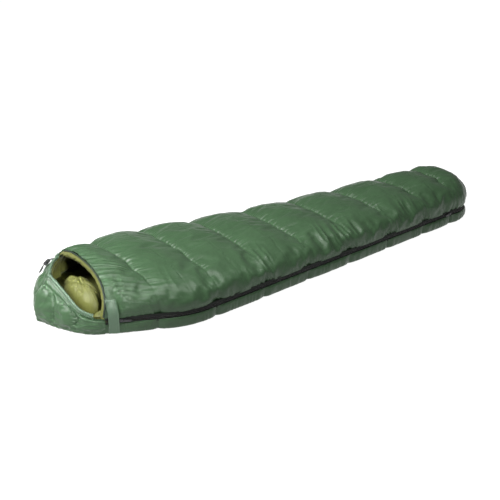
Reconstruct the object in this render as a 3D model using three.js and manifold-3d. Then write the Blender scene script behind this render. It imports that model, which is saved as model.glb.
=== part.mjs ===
// Mummy sleeping bag, laid out flat and puffed up, with its zip closed.
// Millimetres. +X runs from the hood to the foot, -Y is the zipped side, +Z is up.
// The origin is on the floor, under the middle of the bag's length.
import * as THREE from "three";
import { mergeVertices } from "three/addons/utils/BufferGeometryUtils.js";
import Module from "manifold-3d";

const wasm = await Module();
wasm.setup();

// ---------------------------------------------------------------- driving dimensions
const HALF_LENGTH = 1100;
const NECK_X = -930; // where the hood meets the body, on the zipped side
const NECK_CROWN_X = -890; // where the top layer's arched edge stands over the neck
const NECK_REACH = 130; // how far down the bag the neck's set-back fades out
const NECK_WIDTH = 248; // half widths in plan
const SHOULDER_SLOPE = 0.42; // the outline widens from the neck to the shoulder
const TAPER_X = -600;
const TAPER_WIDTH = 374;
const TAPER_SLOPE = -0.113; // and narrows from the shoulder to the foot
const SHOULDER_BLEND = 90; // half length of the round stretch at the shoulder
const FOOT_RADIUS = 148; // the foot's corners, in plan
const FOOT_POWER = 0.6; // below 1, the foot's upper edge is fuller than a quarter ellipse
const FOOT_X = HALF_LENGTH - FOOT_RADIUS;

const PAD_HEIGHT = 42; // the bottom layer's thickness
const PAD_ROUND = 12;
const CROWN_NECK = 218; // height of the top layer's crown
const CROWN_FOOT = 212;
const CROWN_SAG = 42;
const SECTION_POWER = 0.85; // below 1, an arch with fuller flanks than an ellipse

const SEWN_GAP = 0.4; // between pieces that are sewn face to face
const SHELL = [0, 1.5]; // each layer's outer and inner depth below the outer surface
const FILL = [2, 30];
const LINING = [30.5, 32];

const ZIP_INSET = 8; // the zip stands this far in from the outline
const ZIP_HEIGHT = 57; // the height at which the two rows of teeth meet
const LID_RIM = 72; // the top layer's lower edge, above the zip
const SIDE_RIM = PAD_HEIGHT + SEWN_GAP;
const FOLD_NECK_Y = 90; // the line along which the top layer folds back
const FOLD_FOOT_Y = 60;
const FOLD_GAP = 1;

const HOOD_RIM_HEIGHT = 176;
const HOOD_FAR_HEIGHT = 182;
const HOOD_LEAN_HEAD = 55; // how far the hood's rim leans in
const HOOD_LEAN_FAR = 92;
const HOOD_LEAN_POWER = 2.2; // the wall stands upright at first and leans in near its rim
const HOOD_END = 0.28; // the share of the wall's length, at each end, that turns to meet the neck
const HOOD_FILL = [2, 22];
const HOOD_LINING = [23, 24.5];

// ---------------------------------------------------------------- materials
const cloth = (hex, roughness = 0.55) =>
  new THREE.MeshStandardMaterial({ color: hex, roughness, metalness: 0 });
const GREEN = cloth(0x4b6449, 0.45);
const OLIVE = cloth(0x7d8450, 0.5);
const WADDING = cloth(0xe8e6dc, 0.95);
const DARK_TAPE = cloth(0x23281f, 0.8);
const WEBBING = cloth(0x2b2a22, 0.85);
const CORD = cloth(0x2f3a2b, 0.8);
const TOOTH = new THREE.MeshStandardMaterial({ color: 0x1c1e1a, roughness: 0.4, metalness: 0 });
const METAL = new THREE.MeshStandardMaterial({ color: 0x3a3a36, roughness: 0.35, metalness: 1 });
const SPRING_STEEL = new THREE.MeshStandardMaterial({ color: 0xa8a8a4, roughness: 0.3, metalness: 1 });
const BLACK_PLASTIC = new THREE.MeshStandardMaterial({ color: 0x20211e, roughness: 0.5, metalness: 0 });

// ---------------------------------------------------------------- solid helpers
const bag = new THREE.Group();

function add(name, geometry, material) {
  const mesh = new THREE.Mesh(geometry, material);
  mesh.name = name;
  bag.add(mesh);
  return mesh;
}

// A closed solid between two grids of points with the same rows and columns.
function between(outer, inner) {
  const rows = outer.length;
  const columns = outer[0].length;
  const points = [...outer.flat(), ...inner.flat()];
  const faces = [];
  const at = (layer, i, j) => layer * rows * columns + i * columns + j;
  const quad = (a, b, c, d) => faces.push(a, b, c, a, c, d);
  for (let i = 0; i < rows - 1; i++)
    for (let j = 0; j < columns - 1; j++) {
      quad(at(0, i, j), at(0, i + 1, j), at(0, i + 1, j + 1), at(0, i, j + 1));
      quad(at(1, i, j), at(1, i, j + 1), at(1, i + 1, j + 1), at(1, i + 1, j));
    }
  const edge = [];
  for (let j = 0; j < columns; j++) edge.push([0, j]);
  for (let i = 1; i < rows; i++) edge.push([i, columns - 1]);
  for (let j = columns - 2; j >= 0; j--) edge.push([rows - 1, j]);
  for (let i = rows - 2; i >= 1; i--) edge.push([i, 0]);
  edge.forEach(([i, j], k) => {
    const [m, n] = edge[(k + 1) % edge.length];
    quad(at(0, i, j), at(0, m, n), at(1, m, n), at(1, i, j));
  });
  const geometry = new THREE.BufferGeometry();
  geometry.setAttribute(
    "position",
    new THREE.Float32BufferAttribute(points.flatMap((p) => p.toArray()), 3),
  );
  geometry.setIndex(faces);
  return outwards(geometry);
}

// Turns a closed geometry the right way out.
function outwards(geometry) {
  const p = geometry.attributes.position;
  const index = geometry.index;
  const [a, b, c] = [new THREE.Vector3(), new THREE.Vector3(), new THREE.Vector3()];
  let volume = 0;
  for (let i = 0; i < index.count; i += 3) {
    a.fromBufferAttribute(p, index.getX(i));
    b.fromBufferAttribute(p, index.getX(i + 1));
    c.fromBufferAttribute(p, index.getX(i + 2));
    volume += a.dot(b.cross(c));
  }
  if (volume < 0)
    for (let i = 0; i < index.count; i += 3) {
      const first = index.getX(i);
      index.setX(i, index.getX(i + 2));
      index.setX(i + 2, first);
    }
  return geometry;
}

function toSolid(geometry) {
  const bare = new THREE.BufferGeometry();
  bare.setAttribute("position", geometry.getAttribute("position").clone());
  if (geometry.index) bare.setIndex(geometry.index.clone());
  const merged = mergeVertices(bare, 1e-3);
  return new wasm.Manifold(
    new wasm.Mesh({
      numProp: 3,
      vertProperties: merged.attributes.position.array,
      triVerts: new Uint32Array(merged.index.array),
    }),
  );
}

function fromSolid(solid) {
  const mesh = solid.getMesh();
  const geometry = new THREE.BufferGeometry();
  geometry.setAttribute("position", new THREE.Float32BufferAttribute(mesh.vertProperties, 3));
  geometry.setIndex([...mesh.triVerts]);
  return geometry;
}

const cut = (geometry, ...tools) =>
  fromSolid(tools.reduce((solid, tool) => solid.subtract(toSolid(tool)), toSolid(geometry)));
const join = (...pieces) =>
  fromSolid(pieces.slice(1).reduce((solid, piece) => solid.add(toSolid(piece)), toSolid(pieces[0])));

// A box between two corners.
function block(x0, x1, y0, y1, z0, z1) {
  const box = new THREE.BoxGeometry(x1 - x0, y1 - y0, z1 - z0);
  return box.translate((x0 + x1) / 2, (y0 + y1) / 2, (z0 + z1) / 2);
}

// A round or ring section swept along a smooth curve through the points.
function sweep(points, radius, steps, bore = 0, sides = 12) {
  const section = new THREE.Shape().absarc(0, 0, radius, 0, 2 * Math.PI);
  if (bore) section.holes.push(new THREE.Path().absarc(0, 0, bore, 0, 2 * Math.PI, true));
  const curve = new THREE.CatmullRomCurve3(points, false, "centripetal");
  return new THREE.ExtrudeGeometry(section, {
    extrudePath: curve,
    steps,
    curveSegments: sides / 2,
    bevelEnabled: false,
  });
}

// A thin plate with its outline in local x and y and its back face on local z = 0.
const plate = (shape, thickness, curveSegments = 6) =>
  new THREE.ExtrudeGeometry(shape, { depth: thickness, bevelEnabled: false, curveSegments });

// ---------------------------------------------------------------- the bag's own shape
const V = (x, y, z) => new THREE.Vector3(x, y, z);
const shoulderLine = (x) => NECK_WIDTH + SHOULDER_SLOPE * (x - NECK_X);
const taperLine = (x) => TAPER_WIDTH + TAPER_SLOPE * (x - TAPER_X);
const SHOULDER_X =
  (TAPER_WIDTH - TAPER_SLOPE * TAPER_X - NECK_WIDTH + SHOULDER_SLOPE * NECK_X) /
  (SHOULDER_SLOPE - TAPER_SLOPE);
const SHOULDER_START = SHOULDER_X - SHOULDER_BLEND;
const SHOULDER_END = SHOULDER_X + SHOULDER_BLEND;

// Half width of the body in plan, without the rounding at the foot.
function bodyWidth(x) {
  if (x >= SHOULDER_END) return taperLine(x);
  if (x <= SHOULDER_START) return shoulderLine(x);
  const along = x - SHOULDER_START;
  return shoulderLine(x) + ((TAPER_SLOPE - SHOULDER_SLOPE) * along ** 2) / (4 * SHOULDER_BLEND);
}

// Half width of the hood, a blunt point that starts at the body's width and slope.
function hoodWidth(x) {
  const t = (NECK_X - x) / (HALF_LENGTH + NECK_X);
  return NECK_WIDTH * (1 - 0.34 * t - 0.66 * t ** 2.6);
}

// Crown height of the top layer, without the rounding at the foot.
function crown(x) {
  const s = (x - NECK_CROWN_X) / (FOOT_X - NECK_CROWN_X);
  return CROWN_NECK + (CROWN_FOOT - CROWN_NECK) * s - CROWN_SAG * 4 * s * (1 - s);
}

const foldY = (x) =>
  FOLD_NECK_Y + ((FOLD_FOOT_Y - FOLD_NECK_Y) * (x - NECK_CROWN_X)) / (HALF_LENGTH - NECK_CROWN_X);

// Lengthwise stations: straight stretches, the shoulder, and a quarter turn at the foot.
function stations() {
  const list = [NECK_X, -880, -820, SHOULDER_START];
  for (let k = 1; k <= 4; k++)
    list.push(SHOULDER_START + (k * (SHOULDER_END - SHOULDER_START)) / 4);
  const spans = 8;
  for (let k = 1; k <= spans; k++)
    list.push(SHOULDER_END + (k * (FOOT_X - SHOULDER_END)) / spans);
  const rows = list.map((x) => ({ x, turn: 0 }));
  const turns = 6;
  for (let k = 1; k <= turns; k++) rows.push({ x: FOOT_X, turn: (k * Math.PI) / 2 / turns });
  return rows;
}
const STATIONS = stations();

// The cross section at one station, at a depth below the outer surface.
function section({ x, turn }, depth) {
  return {
    x: x + (FOOT_RADIUS - depth) * Math.sin(turn),
    width: turn
      ? taperLine(x) - FOOT_RADIUS + (FOOT_RADIUS - depth) * Math.cos(turn)
      : bodyWidth(x) - depth,
    top: crown(x) - depth,
    drop: turn ? Math.max(0, Math.cos(turn)) ** FOOT_POWER : 1,
  };
}

// Near the neck the arch stands further back over the crown and the far side than at the zip.
function setBack({ x, turn }, angle) {
  const near = Math.max(0, 1 - (x - NECK_X) / NECK_REACH);
  const share = angle < Math.PI / 2 ? Math.sin(angle) : 1;
  return { x: x + (NECK_CROWN_X - NECK_X) * near * share, turn };
}

// A point of the top layer's arch: angle 0 is the zipped rim, pi is the far rim.
function archPoint(station, angle, depth, rim) {
  const { x, width, top, drop } = section(setBack(station, angle), depth);
  const c = Math.cos(angle);
  const y = -width * Math.sign(c) * Math.abs(c) ** SECTION_POWER;
  const z = rim + (top - rim) * drop * Math.abs(Math.sin(angle)) ** SECTION_POWER;
  return V(x, y, z);
}

// The arch angle at which a section reaches a given distance towards the far side.
function farAngle(station, depth, y) {
  const { width } = section(setBack(station, Math.PI), depth);
  return Math.acos(-Math.min(1, (y / width) ** (1 / SECTION_POWER)));
}

// The arch angle at which a section crosses the fold line, on one side of it or the other.
function foldAngle(station, depth, side) {
  const { x } = section(setBack(station, Math.PI), depth);
  return farAngle(station, depth, foldY(x) + side * FOLD_GAP);
}

function lidGrid(depth, columns = 9) {
  return STATIONS.map((station) => {
    const end = foldAngle(station, depth, -1);
    return Array.from({ length: columns }, (_, j) =>
      archPoint(station, (end * j) / (columns - 1), depth, LID_RIM),
    );
  });
}

function sideGrid(depth, columns = 6) {
  return STATIONS.map((station) => {
    const start = foldAngle(station, depth, 1);
    return Array.from({ length: columns }, (_, j) =>
      archPoint(station, start + ((Math.PI - start) * j) / (columns - 1), depth, SIDE_RIM),
    );
  });
}

// ---------------------------------------------------------------- bottom layer
// The whole outline in plan, inset by a distance.
function outline(inset) {
  const near = [];
  const hoodSteps = 7;
  for (let k = 0; k <= hoodSteps; k++) {
    const x = -HALF_LENGTH + (k * (NECK_X + HALF_LENGTH)) / (hoodSteps + 1);
    near.push([x + inset * (1 - k / (hoodSteps + 1)), hoodWidth(x) - inset * (k > 0 ? 1 : 0)]);
  }
  for (const station of STATIONS) {
    const { x, width } = section(station, inset);
    near.push([x, width]);
  }
  const tip = near.shift();
  const shape = new THREE.Shape();
  shape.moveTo(tip[0], 0);
  for (const [x, y] of near) shape.lineTo(x, -y);
  for (const [x, y] of near.reverse()) shape.lineTo(x, y);
  return shape;
}

// A slab with the bag's outline and a rounded lower edge.
function slab(inset, z0, z1, round) {
  const upright = plate(outline(inset), z1 - z0 - round).translate(0, 0, z0 + round);
  const skirt = plate(outline(inset + 0.3 * round), z1 - z0 - 0.3 * round).translate(0, 0, z0 + 0.3 * round);
  const sole = plate(outline(inset + round), z1 - z0).translate(0, 0, z0);
  return fromSolid(
    wasm.Manifold.hull([toSolid(upright), toSolid(skirt), toSolid(sole)]),
  );
}

const SHEET = SHELL[1]; // thickness of the fabric
add(
  "bottom_shell",
  cut(slab(0, 0, PAD_HEIGHT, PAD_ROUND), slab(SHEET, SHEET, PAD_HEIGHT + 10, PAD_ROUND)),
  GREEN,
);
const LINING_TOP = PAD_HEIGHT - 0.3;
const LINING_BASE = LINING_TOP - SHEET;
add(
  "bottom_insulation",
  slab(SHEET + SEWN_GAP, SHEET + SEWN_GAP, LINING_BASE - SEWN_GAP, PAD_ROUND),
  WADDING,
);
add("bottom_lining", plate(outline(SHEET + SEWN_GAP), SHEET).translate(0, 0, LINING_BASE), OLIVE);

// ---------------------------------------------------------------- top layer, in two parts
for (const [name, depths, material] of [
  ["shell", SHELL, GREEN],
  ["insulation", FILL, WADDING],
  ["lining", LINING, OLIVE],
]) {
  add("top_" + name, between(lidGrid(depths[0]), lidGrid(depths[1])), material);
  add("side_" + name, between(sideGrid(depths[0]), sideGrid(depths[1])), material);
}

// ---------------------------------------------------------------- hood
// Plan points of the hood's wall, from the zipped corner round the head to the far corner.
function hoodPath() {
  const ends = { near: NECK_X - 4, far: NECK_CROWN_X - 6 };
  const dense = [];
  const fine = 60;
  for (let k = 0; k <= fine; k++) {
    const x = ends.near + ((-HALF_LENGTH - ends.near) * k) / fine;
    dense.push(new THREE.Vector2(x, -hoodWidth(x)));
  }
  for (let k = 1; k <= fine; k++) {
    const x = -HALF_LENGTH + ((ends.far + HALF_LENGTH) * k) / fine;
    dense.push(new THREE.Vector2(x, x < NECK_X ? hoodWidth(x) : bodyWidth(x)));
  }
  const lengths = [0];
  for (let k = 1; k < dense.length; k++)
    lengths.push(lengths[k - 1] + dense[k].distanceTo(dense[k - 1]));
  // a point at a share of the wall's length
  return (share) => {
    const goal = Math.min(1, Math.max(0, share)) * lengths[lengths.length - 1];
    let k = 1;
    while (k < lengths.length - 1 && lengths[k] < goal) k++;
    const t = (goal - lengths[k - 1]) / (lengths[k] - lengths[k - 1]);
    return dense[k - 1].clone().lerp(dense[k], t);
  };
}
const alongHood = hoodPath();

const smooth = (t) => t * t * (3 - 2 * t);
const hoodHeight = (u) =>
  u < 0.5
    ? LID_RIM + (HOOD_RIM_HEIGHT - LID_RIM) * smooth(u / 0.5)
    : HOOD_RIM_HEIGHT + (HOOD_FAR_HEIGHT - HOOD_RIM_HEIGHT) * smooth((u - 0.5) / 0.5);
const hoodLean = (u) =>
  u < 0.5
    ? HOOD_LEAN_HEAD * smooth(u / 0.5)
    : HOOD_LEAN_HEAD + (HOOD_LEAN_FAR - HOOD_LEAN_HEAD) * smooth((u - 0.5) / 0.5);

// A point of the hood's wall: u runs round the head, v from the floor side up to the rim.
function hoodPoint(u, v, depth) {
  const here = alongHood(u);
  const span = 0.06;
  const tangent = alongHood(u + span).sub(alongHood(u - span)).normalize();
  const inwards = new THREE.Vector2(tangent.y, -tangent.x);
  // at its two ends the wall leans straight across the bag, along the neck's edges
  const end = smooth(Math.max(0, 1 - Math.min(u, 1 - u) / HOOD_END));
  inwards.lerp(new THREE.Vector2(0, u < 0.5 ? 1 : -1), end).normalize();
  const inset = depth + hoodLean(u) * v ** HOOD_LEAN_POWER;
  const z = SIDE_RIM + (hoodHeight(u) - SIDE_RIM) * v;
  return V(here.x + inwards.x * inset, here.y + inwards.y * inset, z);
}

function hoodGrid(depth, rows = 25, columns = 6) {
  return Array.from({ length: rows }, (_, i) =>
    Array.from({ length: columns }, (_, j) => hoodPoint(i / (rows - 1), j / (columns - 1), depth)),
  );
}
add("hood_shell", between(hoodGrid(SHELL[0]), hoodGrid(SHELL[1])), GREEN);
add("hood_insulation", between(hoodGrid(HOOD_FILL[0]), hoodGrid(HOOD_FILL[1])), WADDING);
add("hood_lining", between(hoodGrid(HOOD_LINING[0]), hoodGrid(HOOD_LINING[1])), OLIVE);

// ---------------------------------------------------------------- edge bindings
const BAND = 3; // the lining turned over the neck's edge
const PIPING_RADIUS = 4;
const PIPING_START = 0.03; // arch angle at which it starts, above the zipped rim
const PIPING_END_Y = 160; // and its far end, where the hood's wall begins
const NECK = STATIONS[0];

// A band over the neck's edge, from the shell's face to the lining's.
function neckBand(angles, rim) {
  const grid = (ahead) =>
    [SHELL[0], LINING[1]].map((depth) =>
      angles(depth).map((angle) => {
        const p = archPoint(NECK, angle, depth, rim);
        return V(p.x - ahead, p.y, p.z);
      }),
    );
  return between(grid(SEWN_GAP + BAND), grid(SEWN_GAP));
}

// Piping round the outer corner of the band.
function neckPiping(angles, rim, steps) {
  const ahead = 2 * SEWN_GAP + BAND + PIPING_RADIUS;
  const line = angles(PIPING_RADIUS).map((angle) => {
    const p = archPoint(NECK, angle, PIPING_RADIUS, rim);
    return V(p.x - ahead, p.y, p.z);
  });
  return sweep(line, PIPING_RADIUS, steps);
}
const spread = (from, to, count) =>
  Array.from({ length: count }, (_, k) => from + ((to - from) * k) / (count - 1));
const lidAngles = (start) => (depth) => spread(start, foldAngle(NECK, depth, -1), 13);
const sideAngles = (endY) => (depth) =>
  spread(foldAngle(NECK, depth, 1), endY ? farAngle(NECK, depth, endY) : Math.PI, endY ? 4 : 8);
add("top_neck_band", neckBand(lidAngles(0), LID_RIM), OLIVE);
add("side_neck_band", neckBand(sideAngles(0), SIDE_RIM), OLIVE);
add("top_neck_piping", neckPiping(lidAngles(PIPING_START), LID_RIM, 20), DARK_TAPE);
add("side_neck_piping", neckPiping(sideAngles(PIPING_END_Y), SIDE_RIM, 4), DARK_TAPE);

// ---------------------------------------------------------------- hood binding and drawcord
const BINDING_RADIUS = 7;
const BINDING_BORE = 4;
const BINDING_GAP = 1.3;
const BINDING_ENDS = [0.05, 0.94]; // shares of the hood's length round the head
const RIM_STEPS = 48;
const CORD_RADIUS = 2;
const CORD_SIDES = 8;
const LOCK_U = 0.79; // the cord lock's place round the rim

// Along the middle of the hood's rim, one binding radius above it.
function overRim(u) {
  const step = 0.01;
  const middle = (share) => hoodPoint(share, 1, HOOD_LINING[1] / 2);
  const tangent = middle(u + step).sub(middle(u - step)).normalize();
  const up = V(0, 0, 1).addScaledVector(tangent, -tangent.z).normalize();
  return middle(u).addScaledVector(up, BINDING_RADIUS + BINDING_GAP);
}
const rimCurve = new THREE.CatmullRomCurve3(spread(...BINDING_ENDS, 15).map(overRim), false, "centripetal");
const rim = rimCurve.getSpacedPoints(RIM_STEPS);
const eyeletIndex = rim.reduce(
  (best, p, k) => (p.distanceTo(overRim(LOCK_U)) < rim[best].distanceTo(overRim(LOCK_U)) ? k : best),
  0,
);

// Local frame of the cord lock: x along the rim, y down the hood's outside, z off the cloth.
const rimHere = hoodPoint(LOCK_U, 1, 0);
const rimAlong = hoodPoint(LOCK_U + 0.02, 1, 0).sub(hoodPoint(LOCK_U - 0.02, 1, 0)).normalize();
const LOCK_HEIGHT_SHARE = 0.72; // the wall's slope is taken from here to the rim
const wallDown = hoodPoint(LOCK_U, LOCK_HEIGHT_SHARE, 0).sub(rimHere);
wallDown.addScaledVector(rimAlong, -wallDown.dot(rimAlong)).normalize();
const wallNormal = new THREE.Vector3().crossVectors(rimAlong, wallDown);
if (wallNormal.z < 0) {
  rimAlong.negate();
  wallNormal.negate();
}
const LOCK_OUT = 34; // from the rim to the lock's middle
const LOCK_LIFT = 11.5; // and up from the cloth
const lockMiddle = rimHere.clone().addScaledVector(wallDown, LOCK_OUT).addScaledVector(wallNormal, LOCK_LIFT);
const lockFrame = new THREE.Matrix4().makeBasis(rimAlong, wallDown, wallNormal).setPosition(lockMiddle);
const atLock = (geometry) => geometry.applyMatrix4(lockFrame);

// The binding's middle beside the lock, in the lock's frame.
const bore = rim[eyeletIndex].clone().applyMatrix4(lockFrame.clone().invert());
const STRAND_GAP = 6; // between the middles of the cord's two strands
const EYELET = { radius: 2.9, y: -LOCK_OUT - 5.5, z: -LOCK_LIFT + 3 };
const eyeletDirection = V(0, EYELET.y - bore.y, EYELET.z - bore.z).normalize();

// A round tool from the binding's middle out through its wall, at one strand.
function eyeletTool(x) {
  const drill = new THREE.CylinderGeometry(EYELET.radius, EYELET.radius, 12, 12).translate(0, 6, 0);
  drill.applyQuaternion(new THREE.Quaternion().setFromUnitVectors(V(0, 1, 0), eyeletDirection));
  return atLock(drill.translate(bore.x + x, bore.y, bore.z));
}
const binding = sweep(rim, BINDING_RADIUS, RIM_STEPS, BINDING_BORE);
add(
  "hood_binding",
  cut(binding, eyeletTool(-STRAND_GAP / 2), eyeletTool(STRAND_GAP / 2)),
  GREEN,
);
for (const [name, run] of [
  ["drawcord_near", rim.slice(1, eyeletIndex)],
  ["drawcord_far", rim.slice(eyeletIndex + 1, -1)],
])
  add(name, sweep(run, CORD_RADIUS, run.length - 1, 0, CORD_SIDES), CORD);

// ---------------------------------------------------------------- cord lock
const LOCK_RADIUS = 8;
const LOCK_ENDS = [-15.5, 8.5]; // the barrel's closed and open ends
const LOCK_WALL = 1.7;
const LOCK_FLOOR = 1.5;
const STEM_RADIUS = 5.8;
const STEM_OUT = 7; // how far the stem stands out
const STEM_LAND = 1.6; // solid stem behind its slot
const CAP = { thickness: 1.8, inset: 0.8 };
const PRESS = 5; // and how far it can be pressed in
const SPRING = { radius: 3.6, wire: 0.3, turns: 3 };
const SLOT = { half: STRAND_GAP / 2 + CORD_RADIUS + 0.4, height: CORD_RADIUS + 0.5 };

// A round bar along local x.
const bar = (x0, x1, radius, sides = 20) =>
  new THREE.CylinderGeometry(radius, radius, x1 - x0, sides)
    .rotateZ(Math.PI / 2)
    .translate((x0 + x1) / 2, 0, 0);
// The slot both strands pass through, lengthened in the stem by its travel.
const slot = (extra = 0) =>
  block(-SLOT.half, SLOT.half + extra, -20, 20, -SLOT.height, SLOT.height);
const floorX = LOCK_ENDS[0] + LOCK_FLOOR;
const lockBody = cut(
  bar(...LOCK_ENDS, LOCK_RADIUS),
  bar(floorX, LOCK_ENDS[1] + 1, LOCK_RADIUS - LOCK_WALL),
  slot(),
);
add("cord_lock_body", atLock(lockBody), BLACK_PLASTIC);
const stemX = -SLOT.half - STEM_LAND;
const capX = LOCK_ENDS[1] + STEM_OUT;
const stem = cut(
  join(
    bar(stemX, capX, STEM_RADIUS, 16),
    bar(capX - CAP.thickness, capX, LOCK_RADIUS - CAP.inset, 16),
  ),
  slot(PRESS),
);
add("cord_lock_stem", atLock(stem), BLACK_PLASTIC);

// The spring between the barrel's closed end and the stem.
const springEnd = stemX - SPRING.wire - 0.2;
const springStart = floorX + SPRING.wire + 0.2;
const coil = spread(0, 1, 12 * SPRING.turns + 1).map((share) => {
  const turn = share * SPRING.turns * 2 * Math.PI;
  return V(
    springStart + (springEnd - springStart) * share,
    SPRING.radius * Math.cos(turn),
    SPRING.radius * Math.sin(turn),
  );
});
add("cord_lock_spring", atLock(sweep(coil, SPRING.wire, 40, 0, 6)), SPRING_STEEL);

// The loose loop: both strands come out of the eyelets, pass through the lock and meet.
const LOOSE = 9; // the loop's half width at its far end
const looseStart = LOCK_RADIUS + 18; // the strands run straight this far, so the lock can slide
const looseEnd = looseStart + 38;
const strand = [
  [bore.y, bore.z],
  [EYELET.y, EYELET.z],
  [-LOCK_OUT + 5, -2.4],
  [-LOCK_OUT + 14, 0],
  [-LOCK_RADIUS, 0],
  [LOCK_RADIUS, 0],
  [looseStart - 3, 0],
  [looseStart + 6, -1.6],
  [looseStart + 15, -4.5],
  [looseStart + 25, -7.5],
];
const apart = (y) =>
  STRAND_GAP / 2 +
  (LOOSE - STRAND_GAP / 2) * smooth(Math.min(1, Math.max(0, (y - looseStart) / 26)));
const aside = (y) => bore.x * smooth(Math.min(1, Math.max(0, (-LOCK_RADIUS - y) / 20)));
const outwardRun = strand.map(([y, z]) => V(aside(y) - apart(y), y, z));
const loopEnd = [
  V(-0.7 * LOOSE, looseEnd - 2.5, -10.3),
  V(0, looseEnd, -11),
  V(0.7 * LOOSE, looseEnd - 2.5, -10.3),
];
const homewardRun = strand.toReversed().map(([y, z]) => V(aside(y) + apart(y), y, z));
const looseCord = sweep([...outwardRun, ...loopEnd, ...homewardRun], CORD_RADIUS, 48, 0, CORD_SIDES);
add("drawcord_loop", atLock(looseCord), CORD);

// ---------------------------------------------------------------- zip
const TAPE = 0.5; // half thicknesses
const TEETH = 1.5;
const TEETH_GAP = 1; // from the meeting line to each row of teeth
const TEETH_HIGH = 2.7;
const ZIP_START_X = NECK_X + 6;
const ZIP_END_Y = FOLD_FOOT_Y - 12;

// The zip's line in plan, at a distance outside its own middle: the near side, then the foot.
function zipLine(offset) {
  const inset = ZIP_INSET - offset;
  const line = [{ x: ZIP_START_X, turn: 0 }, ...STATIONS.slice(1)].map((station) => {
    const { x, width } = section(station, inset);
    return new THREE.Vector2(x, -width);
  });
  line.push(new THREE.Vector2(HALF_LENGTH - inset, ZIP_END_Y));
  return line;
}

// An upright strip along the zip, between two heights.
function zipStrip(halfThickness, z0, z1) {
  const grid = (offset) => zipLine(offset).map((p) => [V(p.x, p.y, z0), V(p.x, p.y, z1)]);
  return between(grid(halfThickness), grid(-halfThickness));
}
const upperTeeth = [ZIP_HEIGHT + TEETH_GAP, ZIP_HEIGHT + TEETH_GAP + TEETH_HIGH];
const lowerTeeth = [ZIP_HEIGHT - TEETH_GAP - TEETH_HIGH, ZIP_HEIGHT - TEETH_GAP];
add("zip_tape_upper", zipStrip(TAPE, upperTeeth[1] + 0.3, LID_RIM - SEWN_GAP), DARK_TAPE);
add("zip_teeth_upper", zipStrip(TEETH, ...upperTeeth), TOOTH);
add("zip_teeth_lower", zipStrip(TEETH, ...lowerTeeth), TOOTH);
add("zip_tape_lower", zipStrip(TAPE, PAD_HEIGHT + SEWN_GAP, lowerTeeth[0] - 0.3), DARK_TAPE);

// Places a piece on the zip: x along it towards the foot, y outwards, z up from the meeting line.
function atZip(geometry, x, line, slope) {
  const along = V(1, -slope, 0).normalize();
  const outward = V(along.y, -along.x, 0);
  const frame = new THREE.Matrix4()
    .makeBasis(along, outward, V(0, 0, 1))
    .setPosition(x, -(line(x) - ZIP_INSET), ZIP_HEIGHT);
  return outwards(geometry.applyMatrix4(frame));
}

const SLIDER = { half: 13, divider: 7, inner: 2.6, outer: 4, low: -5.2, back: -0.7, top: 6.1 };
const LIP = { reach: 0.9, height: 1.5 };
const PIN = { y: 6.4, radius: 0.9, half: 3 };
const EAR = { half: 2.2, inner: 2.4, outer: 3.6, reach: 1.8 };
const PULL = { length: 30, half: 4.5, neck: 2, thickness: 2, barrel: 2, hole: 2.4 };
const OVERLAP = 0.2; // by which joined pieces enter each other

// The slider grips the upper row of teeth and covers the lower one from outside.
// Its leading end is towards local -x.
function sliderBody() {
  const { half, divider, inner, outer, low, back, top } = SLIDER;
  const ear = (z0, z1) => block(-EAR.half, EAR.half, outer - OVERLAP, PIN.y + EAR.reach, z0, z1);
  const lip = (y0, y1) => block(-half, half, y0, y1, top - LIP.height, top);
  return join(
    block(-half, half, inner, outer, low, top),
    block(-half, half, -outer, -inner, back, top),
    block(-half, -half + divider, -inner - OVERLAP, inner + OVERLAP, back, -back),
    lip(LIP.reach, inner + OVERLAP),
    lip(-inner - OVERLAP, -LIP.reach),
    ear(-EAR.outer, -EAR.inner),
    ear(EAR.inner, EAR.outer),
    upright(PIN.radius, PIN.half, 10).translate(0, PIN.y, 0),
  );
}

// A round bar standing along z about the origin.
function upright(radius, half, sides) {
  return new THREE.CylinderGeometry(radius, radius, 2 * half, sides).rotateX(Math.PI / 2);
}

// The pull turns on the slider's pin and lies along the zip towards local +x.
function pullTab() {
  const { length, half, neck, thickness, barrel, hole } = PULL;
  const edge = [
    [0, neck],
    [3.5, neck],
    [8, half],
    [length - 3, half],
    [length, half - 3],
  ];
  const shape = new THREE.Shape();
  shape.moveTo(edge[0][0], -edge[0][1]);
  for (const [x, y] of edge.slice(1)) shape.lineTo(x, -y);
  for (const [x, y] of edge.toReversed()) shape.lineTo(x, y);
  shape.holes.push(new THREE.Path().absarc(length - 6.5, 0, hole, 0, 2 * Math.PI, true));
  const blade = plate(shape, thickness).translate(0, 0, -thickness / 2).rotateX(Math.PI / 2);
  const made = cut(join(blade, upright(barrel, neck, 16)), upright(PIN.radius + 0.35, 10, 12));
  return made.translate(0, PIN.y, 0);
}

const HEAD_SLIDER_X = -862;
const FOOT_SLIDER_X = 905;
const turned = (geometry) => outwards(geometry.scale(-1, 1, 1));
for (const [name, make] of [
  ["slider", sliderBody],
  ["pull", pullTab],
]) {
  add(name + "_head", atZip(make(), HEAD_SLIDER_X, shoulderLine, SHOULDER_SLOPE), METAL);
  add(name + "_foot", atZip(turned(make()), FOOT_SLIDER_X, taperLine, TAPER_SLOPE), METAL);
}

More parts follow.
